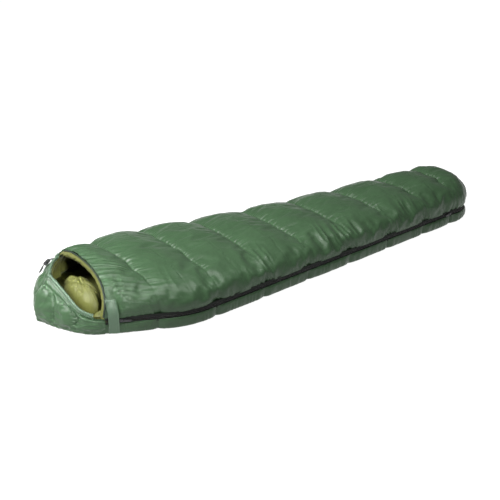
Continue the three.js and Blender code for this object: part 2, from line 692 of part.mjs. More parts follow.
// A crimped stop at each end of each row of teeth.
const STOP = { half: 1.5, reach: 2.1, gap: 0.8, height: 4 };
for (const [name, z0] of [
  ["upper", TEETH_GAP],
  ["lower", -TEETH_GAP - STOP.height],
]) {
  const clamp = block(-STOP.half, STOP.half, -STOP.reach, STOP.reach, z0, z0 + STOP.height);
  const startX = ZIP_START_X - STOP.gap - STOP.half;
  add(`zip_stop_${name}_head`, atZip(clamp.clone(), startX, shoulderLine, SHOULDER_SLOPE), METAL);
  clamp.rotateZ(Math.PI / 2).translate(
    HALF_LENGTH - ZIP_INSET,
    ZIP_END_Y + STOP.gap + STOP.half,
    ZIP_HEIGHT,
  );
  add(`zip_stop_${name}_foot`, clamp, METAL);
}

// ---------------------------------------------------------------- draft tube and collar
const TUBE_RADIUS = 13;
const TUBE_INSET = LINING[1] + TUBE_RADIUS + 12;
const TUBE_HEIGHT = LID_RIM + TUBE_RADIUS + 1;
const tubeLine = STATIONS.filter(({ x, turn }) => !turn && x > NECK_X && x < FOOT_X - 40).map(
  ({ x }) => V(x, -(bodyWidth(x) - TUBE_INSET), TUBE_HEIGHT),
);
add("draft_tube", sweep(tubeLine, TUBE_RADIUS, 30), OLIVE);

const COLLAR = { x: -925, y: -50, halfLength: 68, halfWidth: 152, height: 106, sunk: 8 };
const dome = new THREE.SphereGeometry(1, 20, 12)
  .rotateX(Math.PI / 2)
  .scale(COLLAR.halfLength, COLLAR.halfWidth, COLLAR.height / 2 + COLLAR.sunk)
  .translate(COLLAR.x, COLLAR.y, PAD_HEIGHT + COLLAR.height / 2);
add("draft_collar", cut(dome, block(-1100, -700, -400, 400, 0, PAD_HEIGHT + SEWN_GAP)), OLIVE);

// ---------------------------------------------------------------- closure tab over the zip's end
const TAB_X = [-920, -882];
const PATCH_MARGIN = 2; // the patches are narrower than the tab by this much on each side
const TAB_STACK = { loop: [0.3, 1.8], hook: [2.1, 3.6], tab: [3.9, 6.1] };
const TAB_FOOT = 12;
const TAB_TOP = 146;
const PATCH_HEIGHT = [16, 38];

// A strip that follows the neck's zipped flank, at two distances off its surface.
function flankStrip([near, far], [z0, z1], rows, margin) {
  const grid = (off) =>
    spread(z0, z1, rows).map((z) => {
      const rise = Math.max(0, (z - LID_RIM) / (CROWN_NECK - LID_RIM));
      const flank = (1 - rise ** (2 / SECTION_POWER)) ** (SECTION_POWER / 2);
      return [TAB_X[0] + margin, TAB_X[1] - margin].map((x) => V(x, -shoulderLine(x) * flank - off, z));
    });
  return between(grid(far), grid(near));
}
add("loop_patch", flankStrip(TAB_STACK.loop, PATCH_HEIGHT, 2, PATCH_MARGIN), DARK_TAPE);
add("hook_patch", flankStrip(TAB_STACK.hook, PATCH_HEIGHT, 2, PATCH_MARGIN), DARK_TAPE);
add("closure_tab", flankStrip(TAB_STACK.tab, [TAB_FOOT, TAB_TOP], 9, 0), GREEN);

// ---------------------------------------------------------------- hang loops at the foot
const HANG = { out: 38, gap: 8, web: 1.6, z: [13, 33], y: 40 };
function hangLoop(y) {
  const outer = HANG.gap / 2 + HANG.web;
  const middle = HANG.out - outer;
  const shape = new THREE.Shape();
  shape.moveTo(0, -outer);
  shape.absarc(middle, 0, outer, -Math.PI / 2, Math.PI / 2, false);
  shape.lineTo(0, outer);
  shape.lineTo(0, HANG.gap / 2);
  shape.absarc(middle, 0, HANG.gap / 2, Math.PI / 2, -Math.PI / 2, true);
  shape.lineTo(0, -HANG.gap / 2);
  return plate(shape, HANG.z[1] - HANG.z[0]).translate(HALF_LENGTH + SEWN_GAP, y, HANG.z[0]);
}
add("hang_loop_near", hangLoop(-HANG.y), WEBBING);
add("hang_loop_far", hangLoop(HANG.y), WEBBING);

export default bag;
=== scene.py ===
"""A mummy sleeping bag, laid out flat: its cloth, quilting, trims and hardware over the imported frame.

Metres, +X from the hood to the foot, -Y the zipped side, +Z up.
"""
import math

import bpy
import numpy as np
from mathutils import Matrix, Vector


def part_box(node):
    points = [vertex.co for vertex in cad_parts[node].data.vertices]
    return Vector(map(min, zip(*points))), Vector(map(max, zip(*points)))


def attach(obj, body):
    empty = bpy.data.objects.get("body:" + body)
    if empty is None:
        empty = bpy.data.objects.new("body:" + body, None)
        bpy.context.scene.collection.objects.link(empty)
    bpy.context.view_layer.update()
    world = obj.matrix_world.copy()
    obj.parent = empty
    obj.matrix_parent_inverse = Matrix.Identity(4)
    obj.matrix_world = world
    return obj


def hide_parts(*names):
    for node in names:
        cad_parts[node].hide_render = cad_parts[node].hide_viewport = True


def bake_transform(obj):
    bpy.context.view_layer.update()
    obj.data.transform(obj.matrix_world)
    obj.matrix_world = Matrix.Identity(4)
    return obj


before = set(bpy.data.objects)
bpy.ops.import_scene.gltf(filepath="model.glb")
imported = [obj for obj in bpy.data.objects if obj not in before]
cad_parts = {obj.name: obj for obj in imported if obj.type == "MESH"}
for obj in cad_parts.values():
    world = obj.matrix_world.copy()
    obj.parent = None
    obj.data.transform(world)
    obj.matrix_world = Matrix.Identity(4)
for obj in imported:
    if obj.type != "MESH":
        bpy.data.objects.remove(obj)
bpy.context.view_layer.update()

# ------------------------------------------------------------------ sizes
HALF_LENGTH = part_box("bottom_shell")[1].x
PAD_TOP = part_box("bottom_shell")[1].z
NECK_X = -0.930
NECK_CROWN_X = -0.890
LID_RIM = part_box("top_shell")[0].z
SIDE_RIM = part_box("side_shell")[0].z
NECK_REACH = 0.130  # how far down the bag the neck's set-back fades out
NECK_WIDTH = 0.248  # half widths in plan
SHOULDER_SLOPE = 0.42
TAPER_X, TAPER_WIDTH, TAPER_SLOPE = -0.600, 0.374, -0.113
SHOULDER_BLEND = 0.090
SHOULDER_X = -0.6236  # where the shoulder's and the taper's lines cross
HOOD_LENGTH = 0.170
FOOT_RADIUS = 0.148
FOOT_POWER = 0.6
FOOT_X = HALF_LENGTH - FOOT_RADIUS
CROWN_NECK, CROWN_FOOT, CROWN_SAG = 0.218, 0.212, 0.042
SECTION_POWER = 0.85
ZIP_END_Y = 0.048
ZIP_INSET = 0.008
SEAM_PITCH = 0.245
SEAMS = [k * SEAM_PITCH for k in range(-3, 4)] + [0.930]
LAYER = 0.030  # thickness of a puffed layer
HOOD_LAYER = 0.0235
HOOD_RIMS = (0.176, 0.182)  # the hood's rim height at the head and at the far side
HOOD_LEANS = (0.055, 0.092)  # and how far it leans in
HOOD_LEAN_POWER = 2.2
HOOD_END = 0.28  # the share of the hood at each end where its wall turns to face across
HOOD_OVERLAPS = (0.006, 0.010)  # how far the hood's cloth runs on into the neck, near and far
RIM_STEP = 0.02  # the lid's rim steps down over this length, past the zip's end


# ------------------------------------------------------------------ numbers
def smooth(t):
    t = np.clip(t, 0.0, 1.0)
    return t * t * (3 - 2 * t)


def hill(distance, width):
    """A bump that is 1 at distance 0 and fades over the width on both sides."""
    return np.exp(-((distance / width) ** 2))


def noise(u, v, cell_u, cell_v, seed):
    """Smooth value noise from -1 to 1 over two coordinates, with its own cell size along each."""
    a, b = np.asarray(u / cell_u) + 997.0, np.asarray(v / cell_v) + 997.0
    i, j = np.floor(a).astype(int), np.floor(b).astype(int)
    s, t = smooth(a - i), smooth(b - j)
    table = np.random.default_rng(seed).uniform(-1, 1, (256, 256))

    def at(p, q):
        return table[p % 256, q % 256]

    low = at(i, j) * (1 - s) + at(i + 1, j) * s
    high = at(i, j + 1) * (1 - s) + at(i + 1, j + 1) * s
    return low * (1 - t) + high * t


# ------------------------------------------------------------------ the bag's shape
def body_width(x):
    shoulder = NECK_WIDTH + SHOULDER_SLOPE * (x - NECK_X)
    taper = TAPER_WIDTH + TAPER_SLOPE * (x - TAPER_X)
    along = np.clip(x - (SHOULDER_X - SHOULDER_BLEND), 0, None)
    bend = shoulder + (TAPER_SLOPE - SHOULDER_SLOPE) * along**2 / (4 * SHOULDER_BLEND)
    return np.where(x >= SHOULDER_X + SHOULDER_BLEND, taper, bend)


def hood_width(x):
    t = np.clip((NECK_X - x) / HOOD_LENGTH, 0, 1)
    return NECK_WIDTH * (1 - 0.34 * t - 0.66 * t**2.6)


def plan_width(x):
    """Half the bag's width in plan, hood and foot included."""
    foot = np.sqrt(np.clip(FOOT_RADIUS**2 - np.clip(x - FOOT_X, 0, None) ** 2, 0, None))
    rounded = body_width(np.minimum(x, FOOT_X)) - FOOT_RADIUS + foot
    return np.where(x < NECK_X, hood_width(x), np.where(x > FOOT_X, rounded, body_width(x)))


def crown(x):
    s = (x - NECK_CROWN_X) / (FOOT_X - NECK_CROWN_X)
    return CROWN_NECK + (CROWN_FOOT - CROWN_NECK) * s - CROWN_SAG * 4 * s * (1 - s)


def arch(x, turn, angle, depth):
    """A point of the top layer: turn rounds the foot, angle 0 is the zipped rim, pi the far rim."""
    straight = turn <= 0
    near = np.clip(1 - (x - NECK_X) / NECK_REACH, 0, None)
    share = np.where(angle < math.pi / 2, np.sin(angle), 1.0)
    x = x + np.where(straight, (NECK_CROWN_X - NECK_X) * near * share, 0)
    rounded = body_width(x) - FOOT_RADIUS + (FOOT_RADIUS - depth) * np.cos(turn)
    width = np.where(straight, body_width(x) - depth, rounded)
    drop = np.clip(np.cos(turn), 0, None) ** FOOT_POWER
    c, s = np.cos(angle), np.abs(np.sin(angle))
    y = -width * np.sign(c) * np.abs(c) ** SECTION_POWER
    # past the fold the rim steps down from the zip to the bottom layer
    rim = LID_RIM + (SIDE_RIM - LID_RIM) * smooth((y - ZIP_END_Y - 0.004) / RIM_STEP)
    z = rim + (crown(x) - depth - rim) * drop * s**SECTION_POWER
    return np.stack([x + (FOOT_RADIUS - depth) * np.sin(turn), y, z], -1)


def evenly(points, count):
    """The places, from 0 to 1 along a dense polyline, of evenly spaced points."""
    run = np.concatenate([[0], np.cumsum(np.linalg.norm(np.diff(points, axis=0), axis=1))])
    return np.interp(np.linspace(0, run[-1], count), run, np.linspace(0, 1, len(points)))


def arch_grid(rows, columns, depth):
    """The top layer's surface: rows from neck to foot by columns from the zip to the far rim."""
    t = np.linspace(0, 1, 900)
    split = (FOOT_X - NECK_X) / (FOOT_X - NECK_X + FOOT_RADIUS)
    x = NECK_X + (FOOT_X - NECK_X) * np.clip(t / split, 0, 1)
    turn = np.clip((t - split) / (1 - split), 0, 1) * math.pi / 2
    share = evenly(arch(x, turn, np.full(len(t), 1.2), depth), rows)
    x, turn = np.interp(share, t, x), np.interp(share, t, turn)
    fine = np.linspace(0, math.pi, 400)
    grid = np.zeros((rows, columns, 3))
    angles = np.zeros((rows, columns))
    for i in range(rows):
        ring = arch(np.full(400, x[i]), np.full(400, turn[i]), fine, depth)
        angles[i] = evenly(ring, columns) * math.pi
        grid[i] = arch(np.full(columns, x[i]), np.full(columns, turn[i]), angles[i], depth)
    return grid, angles


class HoodPath:
    """The hood's wall in plan, from the zipped corner round the head to the far corner."""

    def __init__(self):
        near = np.linspace(NECK_X - 0.004, -HALF_LENGTH, 61)
        far = np.linspace(-HALF_LENGTH, NECK_CROWN_X - 0.006, 61)[1:]
        far_y = np.where(far < NECK_X, hood_width(far), body_width(far))
        near_side = np.stack([near, -hood_width(near)], -1)
        far_side = np.stack([far, far_y], -1)
        self.points = np.concatenate([near_side, far_side])
        steps = np.linalg.norm(np.diff(self.points, axis=0), axis=1)
        self.run = np.concatenate([[0], np.cumsum(steps)])

    def at(self, share):
        goal = np.clip(share, 0, 1) * self.run[-1]
        return np.stack([np.interp(goal, self.run, self.points[:, k]) for k in (0, 1)], -1)


HOOD_PATH = HoodPath()


def hood_rim(u, start, values):
    first = start + (values[0] - start) * smooth(u / 0.5)
    second = values[0] + (values[1] - values[0]) * smooth((u - 0.5) / 0.5)
    return np.where(u < 0.5, first, second)


def into_neck(u):
    """How far along the bag the hood's cloth is carried on past its two ends."""
    near, far = HOOD_OVERLAPS
    return near * smooth((0.03 - u) / 0.03) + far * smooth((u - 0.96) / 0.04)


def hood_point(u, v, depth):
    """A point of the hood's wall: u runs round the head, v from the floor side up to the rim."""
    u, v, depth = np.broadcast_arrays(u, v, depth)
    here = HOOD_PATH.at(u)
    tangent = HOOD_PATH.at(u + 0.06) - HOOD_PATH.at(u - 0.06)
    tangent /= np.linalg.norm(tangent, axis=-1, keepdims=True)
    inwards = np.stack([tangent[..., 1], -tangent[..., 0]], -1)
    end = smooth(1 - np.minimum(u, 1 - u) / HOOD_END)[..., None]
    across = np.stack([np.zeros_like(u), np.where(u < 0.5, 1.0, -1.0)], -1)
    inwards = inwards * (1 - end) + across * end
    inwards /= np.linalg.norm(inwards, axis=-1, keepdims=True)
    lean = hood_rim(u, 0.0, HOOD_LEANS)
    inset = depth + lean * np.clip(v, 0, None) ** HOOD_LEAN_POWER
    z = SIDE_RIM + (hood_rim(u, LID_RIM, HOOD_RIMS) - SIDE_RIM) * v
    return np.concatenate([here + inwards * inset[..., None], z[..., None]], -1)


# ------------------------------------------------------------------ meshes from grids
def normals(grid):
    """Unit normals of a grid: the way along its rows crossed with the way along its columns."""
    n = np.cross(np.gradient(grid, axis=0), np.gradient(grid, axis=1))
    return n / np.maximum(np.linalg.norm(n, axis=-1, keepdims=True), 1e-12)


def refine(grid):
    """The same surface at twice the resolution, with its new points on smooth curves."""
    for axis in (0, 1):
        grid = np.moveaxis(grid, axis, 0)
        padded = np.concatenate([2 * grid[:1] - grid[1:2], grid, 2 * grid[-1:] - grid[-2:-1]])
        middle = (9 * (padded[1:-2] + padded[2:-1]) - padded[:-3] - padded[3:]) / 16
        fine = np.empty((2 * len(grid) - 1, *grid.shape[1:]))
        fine[::2] = grid
        fine[1::2] = middle
        grid = np.moveaxis(fine, 0, axis)
    return grid


def blur(field, reach):
    """The field averaged over its neighbours, reach grid steps away on each side."""
    for axis in (0, 1):
        k = np.arange(field.shape[axis])
        weights = np.exp(-(((k[:, None] - k[None, :]) / reach) ** 2))
        weights /= weights.sum(1, keepdims=True)
        field = np.moveaxis(np.tensordot(weights, field, (1, axis)), 0, axis)
    return field


def wrinkles(rise, fine, coarse):
    """The part of a simulated rise between a fine and a coarse size, in grid steps."""
    return blur(rise, fine) - blur(rise, coarse)


def grid_faces(rows, columns, flip=False):
    i, j = np.meshgrid(np.arange(rows - 1), np.arange(columns - 1), indexing="ij")
    a = i * columns + j
    quads = np.stack([a, a + columns, a + columns + 1, a + 1], -1).reshape(-1, 4)
    return quads[:, ::-1] if flip else quads


def mesh_object(name, vertices, faces, material=None, uvs=None):
    mesh = bpy.data.meshes.new(name)
    mesh.from_pydata([tuple(v) for v in np.asarray(vertices)], [], [tuple(map(int, f)) for f in faces])
    mesh.polygons.foreach_set("use_smooth", np.ones(len(mesh.polygons), bool))
    if uvs is not None:
        layer = mesh.uv_layers.new(name="UVMap")
        corners = np.zeros(len(mesh.loops), np.int32)
        mesh.loops.foreach_get("vertex_index", corners)
        layer.data.foreach_set("uv", np.asarray(uvs, np.float32)[corners].ravel())
    if material is not None:
        mesh.materials.append(material)
    mesh.update()
    piece = bpy.data.objects.new(name, mesh)
    bpy.context.scene.collection.objects.link(piece)
    return piece


def running(grid, axis):
    """Lengths along the rows or the columns, from 0."""
    steps = np.linalg.norm(np.diff(grid, axis=axis), axis=-1)
    start = np.zeros_like(grid[..., 0].take([0], axis))
    return np.concatenate([start, np.cumsum(steps, axis=axis)], axis=axis)


def sheet_uvs(grid):
    """Lengths in metres along the rows and along the columns."""
    return np.stack([running(grid, 0), running(grid, 1)], -1)


def cloth_piece(name, grid, material, flip=False, thickness=0.0):
    rows, columns = grid.shape[:2]
    faces = grid_faces(rows, columns, flip)
    piece = mesh_object(name, grid.reshape(-1, 3), faces, material, sheet_uvs(grid).reshape(-1, 2))
    if thickness:
        solid = piece.modifiers.new("thickness", "SOLIDIFY")
        solid.thickness = thickness
        solid.offset = -1
    return piece


CLOTH = {
    "quality": 5,
    "mass": 0.15,
    "tension_stiffness": 18,
    "compression_stiffness": 18,
    "shear_stiffness": 6,
    "bending_stiffness": 6.0,
    "tension_damping": 6,
    "compression_damping": 6,
    "shear_damping": 6,
    "air_damping": 2.5,
    "use_pressure": True,
    "uniform_pressure_force": 3.0,
}
SHAKE = 0.0015  # how far the cloth starts off its smooth shape
LOOSE_LEVELS = 20


def weighted(piece, name, points, weight=1.0):
    """A vertex group, made on first use, with these points at this weight."""
    group = piece.vertex_groups.get(name) or piece.vertex_groups.new(name=name)
    group.add([int(k) for k in points], weight, "REPLACE")


def settle(grid, pins, excess, seed, frames=16, looser=None, more=0.0, flip=False):
    """Cloth simulation: the grid swells between its pinned points, with some cloth to spare.

    The spare share of cloth is excess everywhere, and rises by more where looser is 1.
    """
    rows, columns = grid.shape[:2]
    i, j = np.meshgrid(np.arange(rows), np.arange(columns), indexing="ij")
    shake = SHAKE * (noise(i, j, 5.0, 5.0, seed) + noise(i, j, 11.0, 11.0, seed + 1)) * ~pins
    start = grid + normals(grid) * shake[..., None]
    cloth = mesh_object("cloth", start.reshape(-1, 3), grid_faces(rows, columns, flip))
    weighted(cloth, "pins", np.flatnonzero(pins))
    modifier = cloth.modifiers.new("cloth", "CLOTH")
    settings = modifier.settings
    for key, value in CLOTH.items():
        setattr(settings, key, value)
    settings.shrink_min = -excess
    settings.vertex_group_mass = "pins"
    settings.effector_weights.gravity = 0
    if looser is not None:
        levels = np.round(np.clip(looser, 0, 1).ravel() * LOOSE_LEVELS).astype(int)
        for level in range(1, LOOSE_LEVELS + 1):
            weighted(cloth, "loose", np.flatnonzero(levels == level), level / LOOSE_LEVELS)
        settings.vertex_group_shrink = "loose"
        settings.shrink_max = -excess - more
    modifier.collision_settings.use_collision = False
    scene = bpy.context.scene
    for number in range(1, frames + 1):
        scene.frame_set(number)
    shape = cloth.evaluated_get(bpy.context.evaluated_depsgraph_get()).to_mesh()
    out = np.zeros(len(shape.vertices) * 3)
    shape.vertices.foreach_get("co", out)
    bpy.data.objects.remove(cloth)
    scene.frame_set(1)
    return out.reshape(rows, columns, 3)


def simulated_creases(start, out, pins, sizes, most, **settings):
    """How far the cloth creases outwards, kept between two sizes and under a greatest height."""
    cloth = settle(start, pins, **settings)
    creases = wrinkles(((cloth - start) * out).sum(-1), *sizes)
    return most * np.tanh(creases / most)


# ------------------------------------------------------------------ materials
def node_input(shader, name, value):
    shader.inputs[name].default_value = value


WAVE_PERIOD = 0.314  # a wave texture of scale 1 repeats at this length
THREAD_GAP_SHADE = 0.86
THREAD_HEIGHT = 0.0002
CREASE = 0.12
CREASE_HEIGHT = 0.003
MOTTLE = 0.10


def bump(nodes, strength, distance):
    node = nodes.new("ShaderNodeBump")
    node_input(node, "Strength", strength)
    node_input(node, "Distance", distance)
    return node


def fabric(name, colour, roughness=0.5, sheen=0.15, weave=0.0011, specular=0.4, coords="UV"):
    """Woven cloth: two sets of threads, small creases and slow changes of tone."""
    material = bpy.data.materials.new(name)
    material.use_nodes = True
    nodes, links = material.node_tree.nodes, material.node_tree.links
    shader = nodes["Principled BSDF"]
    where = nodes.new("ShaderNodeTexCoord").outputs[coords]
    node_input(shader, "Roughness", roughness)
    node_input(shader, "Sheen Weight", sheen)
    node_input(shader, "Sheen Roughness", 0.4)
    node_input(shader, "Specular IOR Level", specular)

    def texture(kind, **settings):
        node = nodes.new(kind)
        for key, value in settings.items():
            if key in node.inputs:
                node.inputs[key].default_value = value
            else:
                setattr(node, key, value)
        links.new(where, node.inputs["Vector"])
        return node

    tone = texture("ShaderNodeTexNoise", Scale=9.0, Detail=5.0, Roughness=0.6)
    ramp = nodes.new("ShaderNodeValToRGB")
    for element, position, level in zip(ramp.color_ramp.elements, (0.3, 0.7), (1 - MOTTLE, 1 + MOTTLE)):
        element.position = position
        element.color = (*[min(1.0, c * level) for c in colour], 1)
    links.new(tone.outputs["Fac"], ramp.inputs["Fac"])
    bands = {"Scale": WAVE_PERIOD / weave, "Distortion": 0.6, "Detail": 1.0}
    threads = [texture("ShaderNodeTexWave", bands_direction=axis, **bands) for axis in ("X", "Y")]
    cross = nodes.new("ShaderNodeMath")
    cross.operation = "MAXIMUM"
    for thread, socket in zip(threads, cross.inputs):
        links.new(thread.outputs["Fac"], socket)
    darker = nodes.new("ShaderNodeMixRGB")
    darker.blend_type = "MULTIPLY"
    darker.inputs["Color2"].default_value = (*[THREAD_GAP_SHADE] * 3, 1)
    invert = nodes.new("ShaderNodeMath")
    invert.operation = "SUBTRACT"
    invert.inputs[0].default_value = 1.0
    links.new(cross.outputs[0], invert.inputs[1])
    links.new(invert.outputs[0], darker.inputs["Fac"])
    links.new(ramp.outputs["Color"], darker.inputs["Color1"])
    links.new(darker.outputs["Color"], shader.inputs["Base Color"])
    fine = bump(nodes, 0.25, THREAD_HEIGHT)
    links.new(cross.outputs[0], fine.inputs["Height"])
    creases = texture("ShaderNodeTexNoise", Scale=38.0, Detail=5.0, Roughness=0.55, Distortion=0.8)
    broad = bump(nodes, CREASE, CREASE_HEIGHT)
    links.new(creases.outputs["Fac"], broad.inputs["Height"])
    links.new(fine.outputs["Normal"], broad.inputs["Normal"])
    links.new(broad.outputs["Normal"], shader.inputs["Normal"])
    return material


GRAIN_SCALE = 400.0
GRAIN_HEIGHT = 0.0002


def solid(name, colour, roughness, metallic=0.0):
    """Moulded plastic or metal, with a fine grain."""
    material = bpy.data.materials.new(name)
    material.use_nodes = True
    nodes, links = material.node_tree.nodes, material.node_tree.links
    shader = nodes["Principled BSDF"]
    node_input(shader, "Metallic", metallic)
    where = nodes.new("ShaderNodeTexCoord").outputs["Object"]
    grains = nodes.new("ShaderNodeTexNoise")
    node_input(grains, "Scale", GRAIN_SCALE)
    node_input(grains, "Detail", 3.0)
    links.new(where, grains.inputs["Vector"])
    ramp = nodes.new("ShaderNodeValToRGB")
    for element, level in zip(ramp.color_ramp.elements, (0.75, 1.2)):
        element.color = (*[min(1.0, c * level) for c in colour], 1)
    links.new(grains.outputs["Fac"], ramp.inputs["Fac"])
    links.new(ramp.outputs["Color"], shader.inputs["Base Color"])
    spread = nodes.new("ShaderNodeMapRange")
    spread.inputs["To Min"].default_value = roughness * 0.85
    spread.inputs["To Max"].default_value = roughness * 1.15
    links.new(grains.outputs["Fac"], spread.inputs["Value"])
    links.new(spread.outputs["Result"], shader.inputs["Roughness"])
    relief = bump(nodes, 0.1, GRAIN_HEIGHT)
    links.new(grains.outputs["Fac"], relief.inputs["Height"])
    links.new(relief.outputs["Normal"], shader.inputs["Normal"])
    return material


GREEN = (0.026, 0.056, 0.025)
PALE_GREEN = (0.042, 0.078, 0.045)
OLIVE = (0.080, 0.086, 0.021)
DARK_GREEN = (0.009, 0.017, 0.011)
TAPE_BLACK = (0.008, 0.010, 0.008)
WEBBING_BLACK = (0.014, 0.018, 0.013)
HOOK_BLACK = (0.02, 0.03, 0.02)
CORD_BLACK = (0.016, 0.022, 0.016)

SHELL = fabric("shell_taffeta", GREEN, roughness=0.38, sheen=0.02, specular=0.25)
LINING = fabric("lining_taffeta", OLIVE, roughness=0.5, sheen=0.03, specular=0.2)
# pale green cloth for the hood's binding; the closure tab is the shell's own green cloth, and its pale
# green there is painted light
BINDING_AND_TAB_PAINTED_LIGHT = fabric("binding_taffeta_and_tab_painted_light", PALE_GREEN, roughness=0.42, sheen=0.1)
PIPING = fabric("piping_cloth", DARK_GREEN, 0.6, sheen=0.02, weave=0.0008, specular=0.2)
TAPE = fabric("zip_tape_weave", TAPE_BLACK, 0.8, 0.02, weave=0.0008, specular=0.2, coords="Object")
WEBBING = fabric("webbing_weave", WEBBING_BLACK, roughness=0.75, weave=0.0014, coords="Object")
HOOKS = fabric("hook_and_loop", HOOK_BLACK, roughness=0.95, sheen=0.6, weave=0.0016, coords="Object")
CORD = fabric("cord_braid", CORD_BLACK, roughness=0.7, sheen=0.2, weave=0.0009)
HIDDEN_CORD = fabric("cord_inside", CORD_BLACK, roughness=0.7, weave=0.0009, coords="Object")
TEETH = solid("zip_nylon", (0.010, 0.010, 0.010), 0.5)
METAL = solid("zip_metal_black", (0.045, 0.045, 0.047), 0.35, metallic=0.8)
STEEL = solid("spring_wire", (0.55, 0.55, 0.56), 0.3, metallic=1.0)
PLASTIC = solid("lock_plastic_black", (0.018, 0.018, 0.019), 0.45)


def along_fold(piece):
    """The piece's placement is baked into its mesh."""
    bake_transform(piece)


# ------------------------------------------------------------------ quilting
def seam_distance(x):
    """Signed distance along the bag to the nearest quilting seam."""
    away = x[..., None] - np.array(SEAMS)
    nearest = np.abs(away).argmin(-1)[..., None]
    return np.take_along_axis(away, nearest, -1)[..., 0]


def ridges(u, v, cell_u, cell_v, seed):
    """Sharp-crested folds from 0 to 1, long where their cell is long."""
    return 1 - np.abs(noise(u, v, cell_u, cell_v, seed)) ** 0.8


# ------------------------------------------------------------------ top layer
GROOVE = 0.024  # depth of the valley in which a seam lies
GROOVE_REACHES = (0.040, 0.034)  # how far the valley rises on the seam's head and foot sides
RIM_GROOVE = 0.35  # the valley's share at the zipped rim
LID_SWELL = 0.007
LID_CREASE = 0.007
UNDER_TAB = 0.002
RIM_LAP = 0.005  # the lid's rim hangs over the tape by this
SIDE_LAP = 0.006  # and the far rim over the bottom layer's edge
STITCH_HALF = 0.0037  # half the width held down by a seam's stitches


def tab_cover(grid):
    """1 where the closure tab lies over the cloth."""
    low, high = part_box("closure_tab")
    x, y, z = np.moveaxis(grid, -1, 0)
    inside = smooth((x - low.x + 0.020) / 0.018) * smooth((high.x + 0.020 - x) / 0.018)
    return inside * smooth((high.z + 0.03 - z) / 0.02) * (y < 0)


def at_straight_sides(x):
    """1 along the bag's sides, fading round the foot."""
    return hill(np.maximum(x - FOOT_X, 0), 0.09)


def lid_before_creases(grid, angles, side, away, covered):
    """The lid with its seams sewn down and its chambers swollen, and 1 where a seam is held."""
    x, y = grid[..., 0], grid[..., 1]
    ring = side[:, -1:]
    on_crown = smooth((angles - 0.75) / 0.5) * (1 - 0.5 * smooth((angles - 2.2) / 0.5))
    at_rim = hill(side, 0.040)
    fade = np.exp(-np.abs(away) / np.where(away < 0, *GROOVE_REACHES))
    groove = GROOVE * np.maximum(on_crown, RIM_GROOVE * at_rim) * fade
    swell = LID_SWELL * smooth(side / 0.06) * smooth((ring - side) / 0.06) * (1 - covered)
    designed = swell - groove - 0.001 - UNDER_TAB * covered
    start = grid + normals(grid) * designed[..., None]
    start[..., 1] += 0.005 * hill(side, 0.010) * at_straight_sides(x)
    run = running(grid, 0)
    fixed_edge = hill(run[-1:] - run, 0.010) * smooth((y - ZIP_END_Y - 0.010) / 0.020)
    far_rim = np.maximum(fixed_edge, hill(ring - side, 0.010))
    start[..., 2] -= RIM_LAP * hill(side, 0.010) + SIDE_LAP * far_rim
    return start, (np.abs(away) < STITCH_HALF) & (on_crown > 0.5)


def seam_puckers(x, side, angles, away):
    """The gathered strip beside each seam, and the groove of its stitches."""
    on_crown = smooth((angles - 0.62 - 0.25 * noise(x, side, 0.1, 9.0, 21)) / 0.35)
    strip = smooth(away / 0.003) * hill(away, 0.030 + 0.012 * noise(side, x, 0.09, 0.2, 22))
    behind = smooth(-away / 0.003) * hill(away, 0.012)
    pleat = ridges(side + 0.15 * away, x, 0.0085, 0.10, 23) - 0.45
    stitches = 0.0035 * np.exp(-np.abs(away) / 0.0035) * np.maximum(on_crown, 0.35)
    return (0.0055 * strip + 0.0020 * behind) * on_crown * pleat - stitches


def neck_gathers(x, side):
    """Long folds that run down the bag from the gathered neck."""
    from_neck = x - NECK_X - 0.030
    gathers = np.exp(-np.clip(from_neck, 0, None) / 0.11) * smooth((from_neck + 0.03) / 0.02)
    long = 0.0090 * (ridges(side + 0.10 * from_neck, x, 0.017, 0.16, 24) - 0.5)
    short = 0.0030 * (ridges(side, x, 0.007, 0.05, 25) - 0.5)
    return gathers * long + gathers * short


def flank_folds(x, angles):
    """Groups of upright drape folds low on the sides."""
    low = hill(angles - 0.55, 0.50) * smooth(noise(x, angles, 0.11, 3.0, 26) * 1.6 + 0.35)
    leaning = x - 0.10 * (angles - 0.5) ** 2 + 0.03 * angles
    return 0.0085 * low * (ridges(leaning, angles, 0.026, 0.9, 27) - 0.5)


def zip_puckers(x, side, away):
    """Puckers that spread from the zip, strongest at the seams."""
    at_zip = np.exp(-side / 0.045) * (0.45 + 0.9 * hill(away, 0.06))
    return 0.0065 * at_zip * (ridges(x + 0.25 * side, side, 0.016, 0.10, 28) - 0.5)


def outer_top():
    """The green outside of the lid and of the far side, in one cloth."""
    grid, angles = arch_grid(290, 150, 0.0)
    x, y = grid[..., 0], grid[..., 1]
    side = running(grid, 1)
    away = seam_distance(x + 0.009 * noise(y, x, 0.06, 0.5, 3))
    covered = tab_cover(grid)
    start, pins = lid_before_creases(grid, angles, side, away, covered)
    pins[[0, -1]] = True
    pins[:, [0, -1]] = True
    looser = np.maximum(hill(x - NECK_X, 0.22), hill(angles - 0.55, 0.45))
    out = normals(grid)
    creases = simulated_creases(
        start, out, pins, (1.3, 9.0), LID_CREASE, excess=0.03, seed=5, looser=looser, more=0.05
    )
    cloth = refine(start + out * (creases * (1 - covered))[..., None])

    fields = refine(np.stack([x, side, angles, away, covered], -1))
    x, side, angles, away, covered = np.moveaxis(fields, -1, 0)
    free = (1 - covered) * smooth((side[:, -1:] - side) / 0.02) * smooth(side / 0.006)
    fine = seam_puckers(x, side, angles, away)
    fine += neck_gathers(x, side)
    fine += flank_folds(x, angles)
    fine += zip_puckers(x, side, away)
    fine += 0.0016 * noise(x, side, 0.05, 0.05, 29) + 0.0007 * noise(x, side, 0.018, 0.018, 30)
    cloth += normals(cloth) * (fine * free)[..., None]
    piece = cloth_piece("top_cloth_outer", cloth, SHELL)
    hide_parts("top_shell", "side_shell", "top_insulation", "side_insulation")
    along_fold(piece)


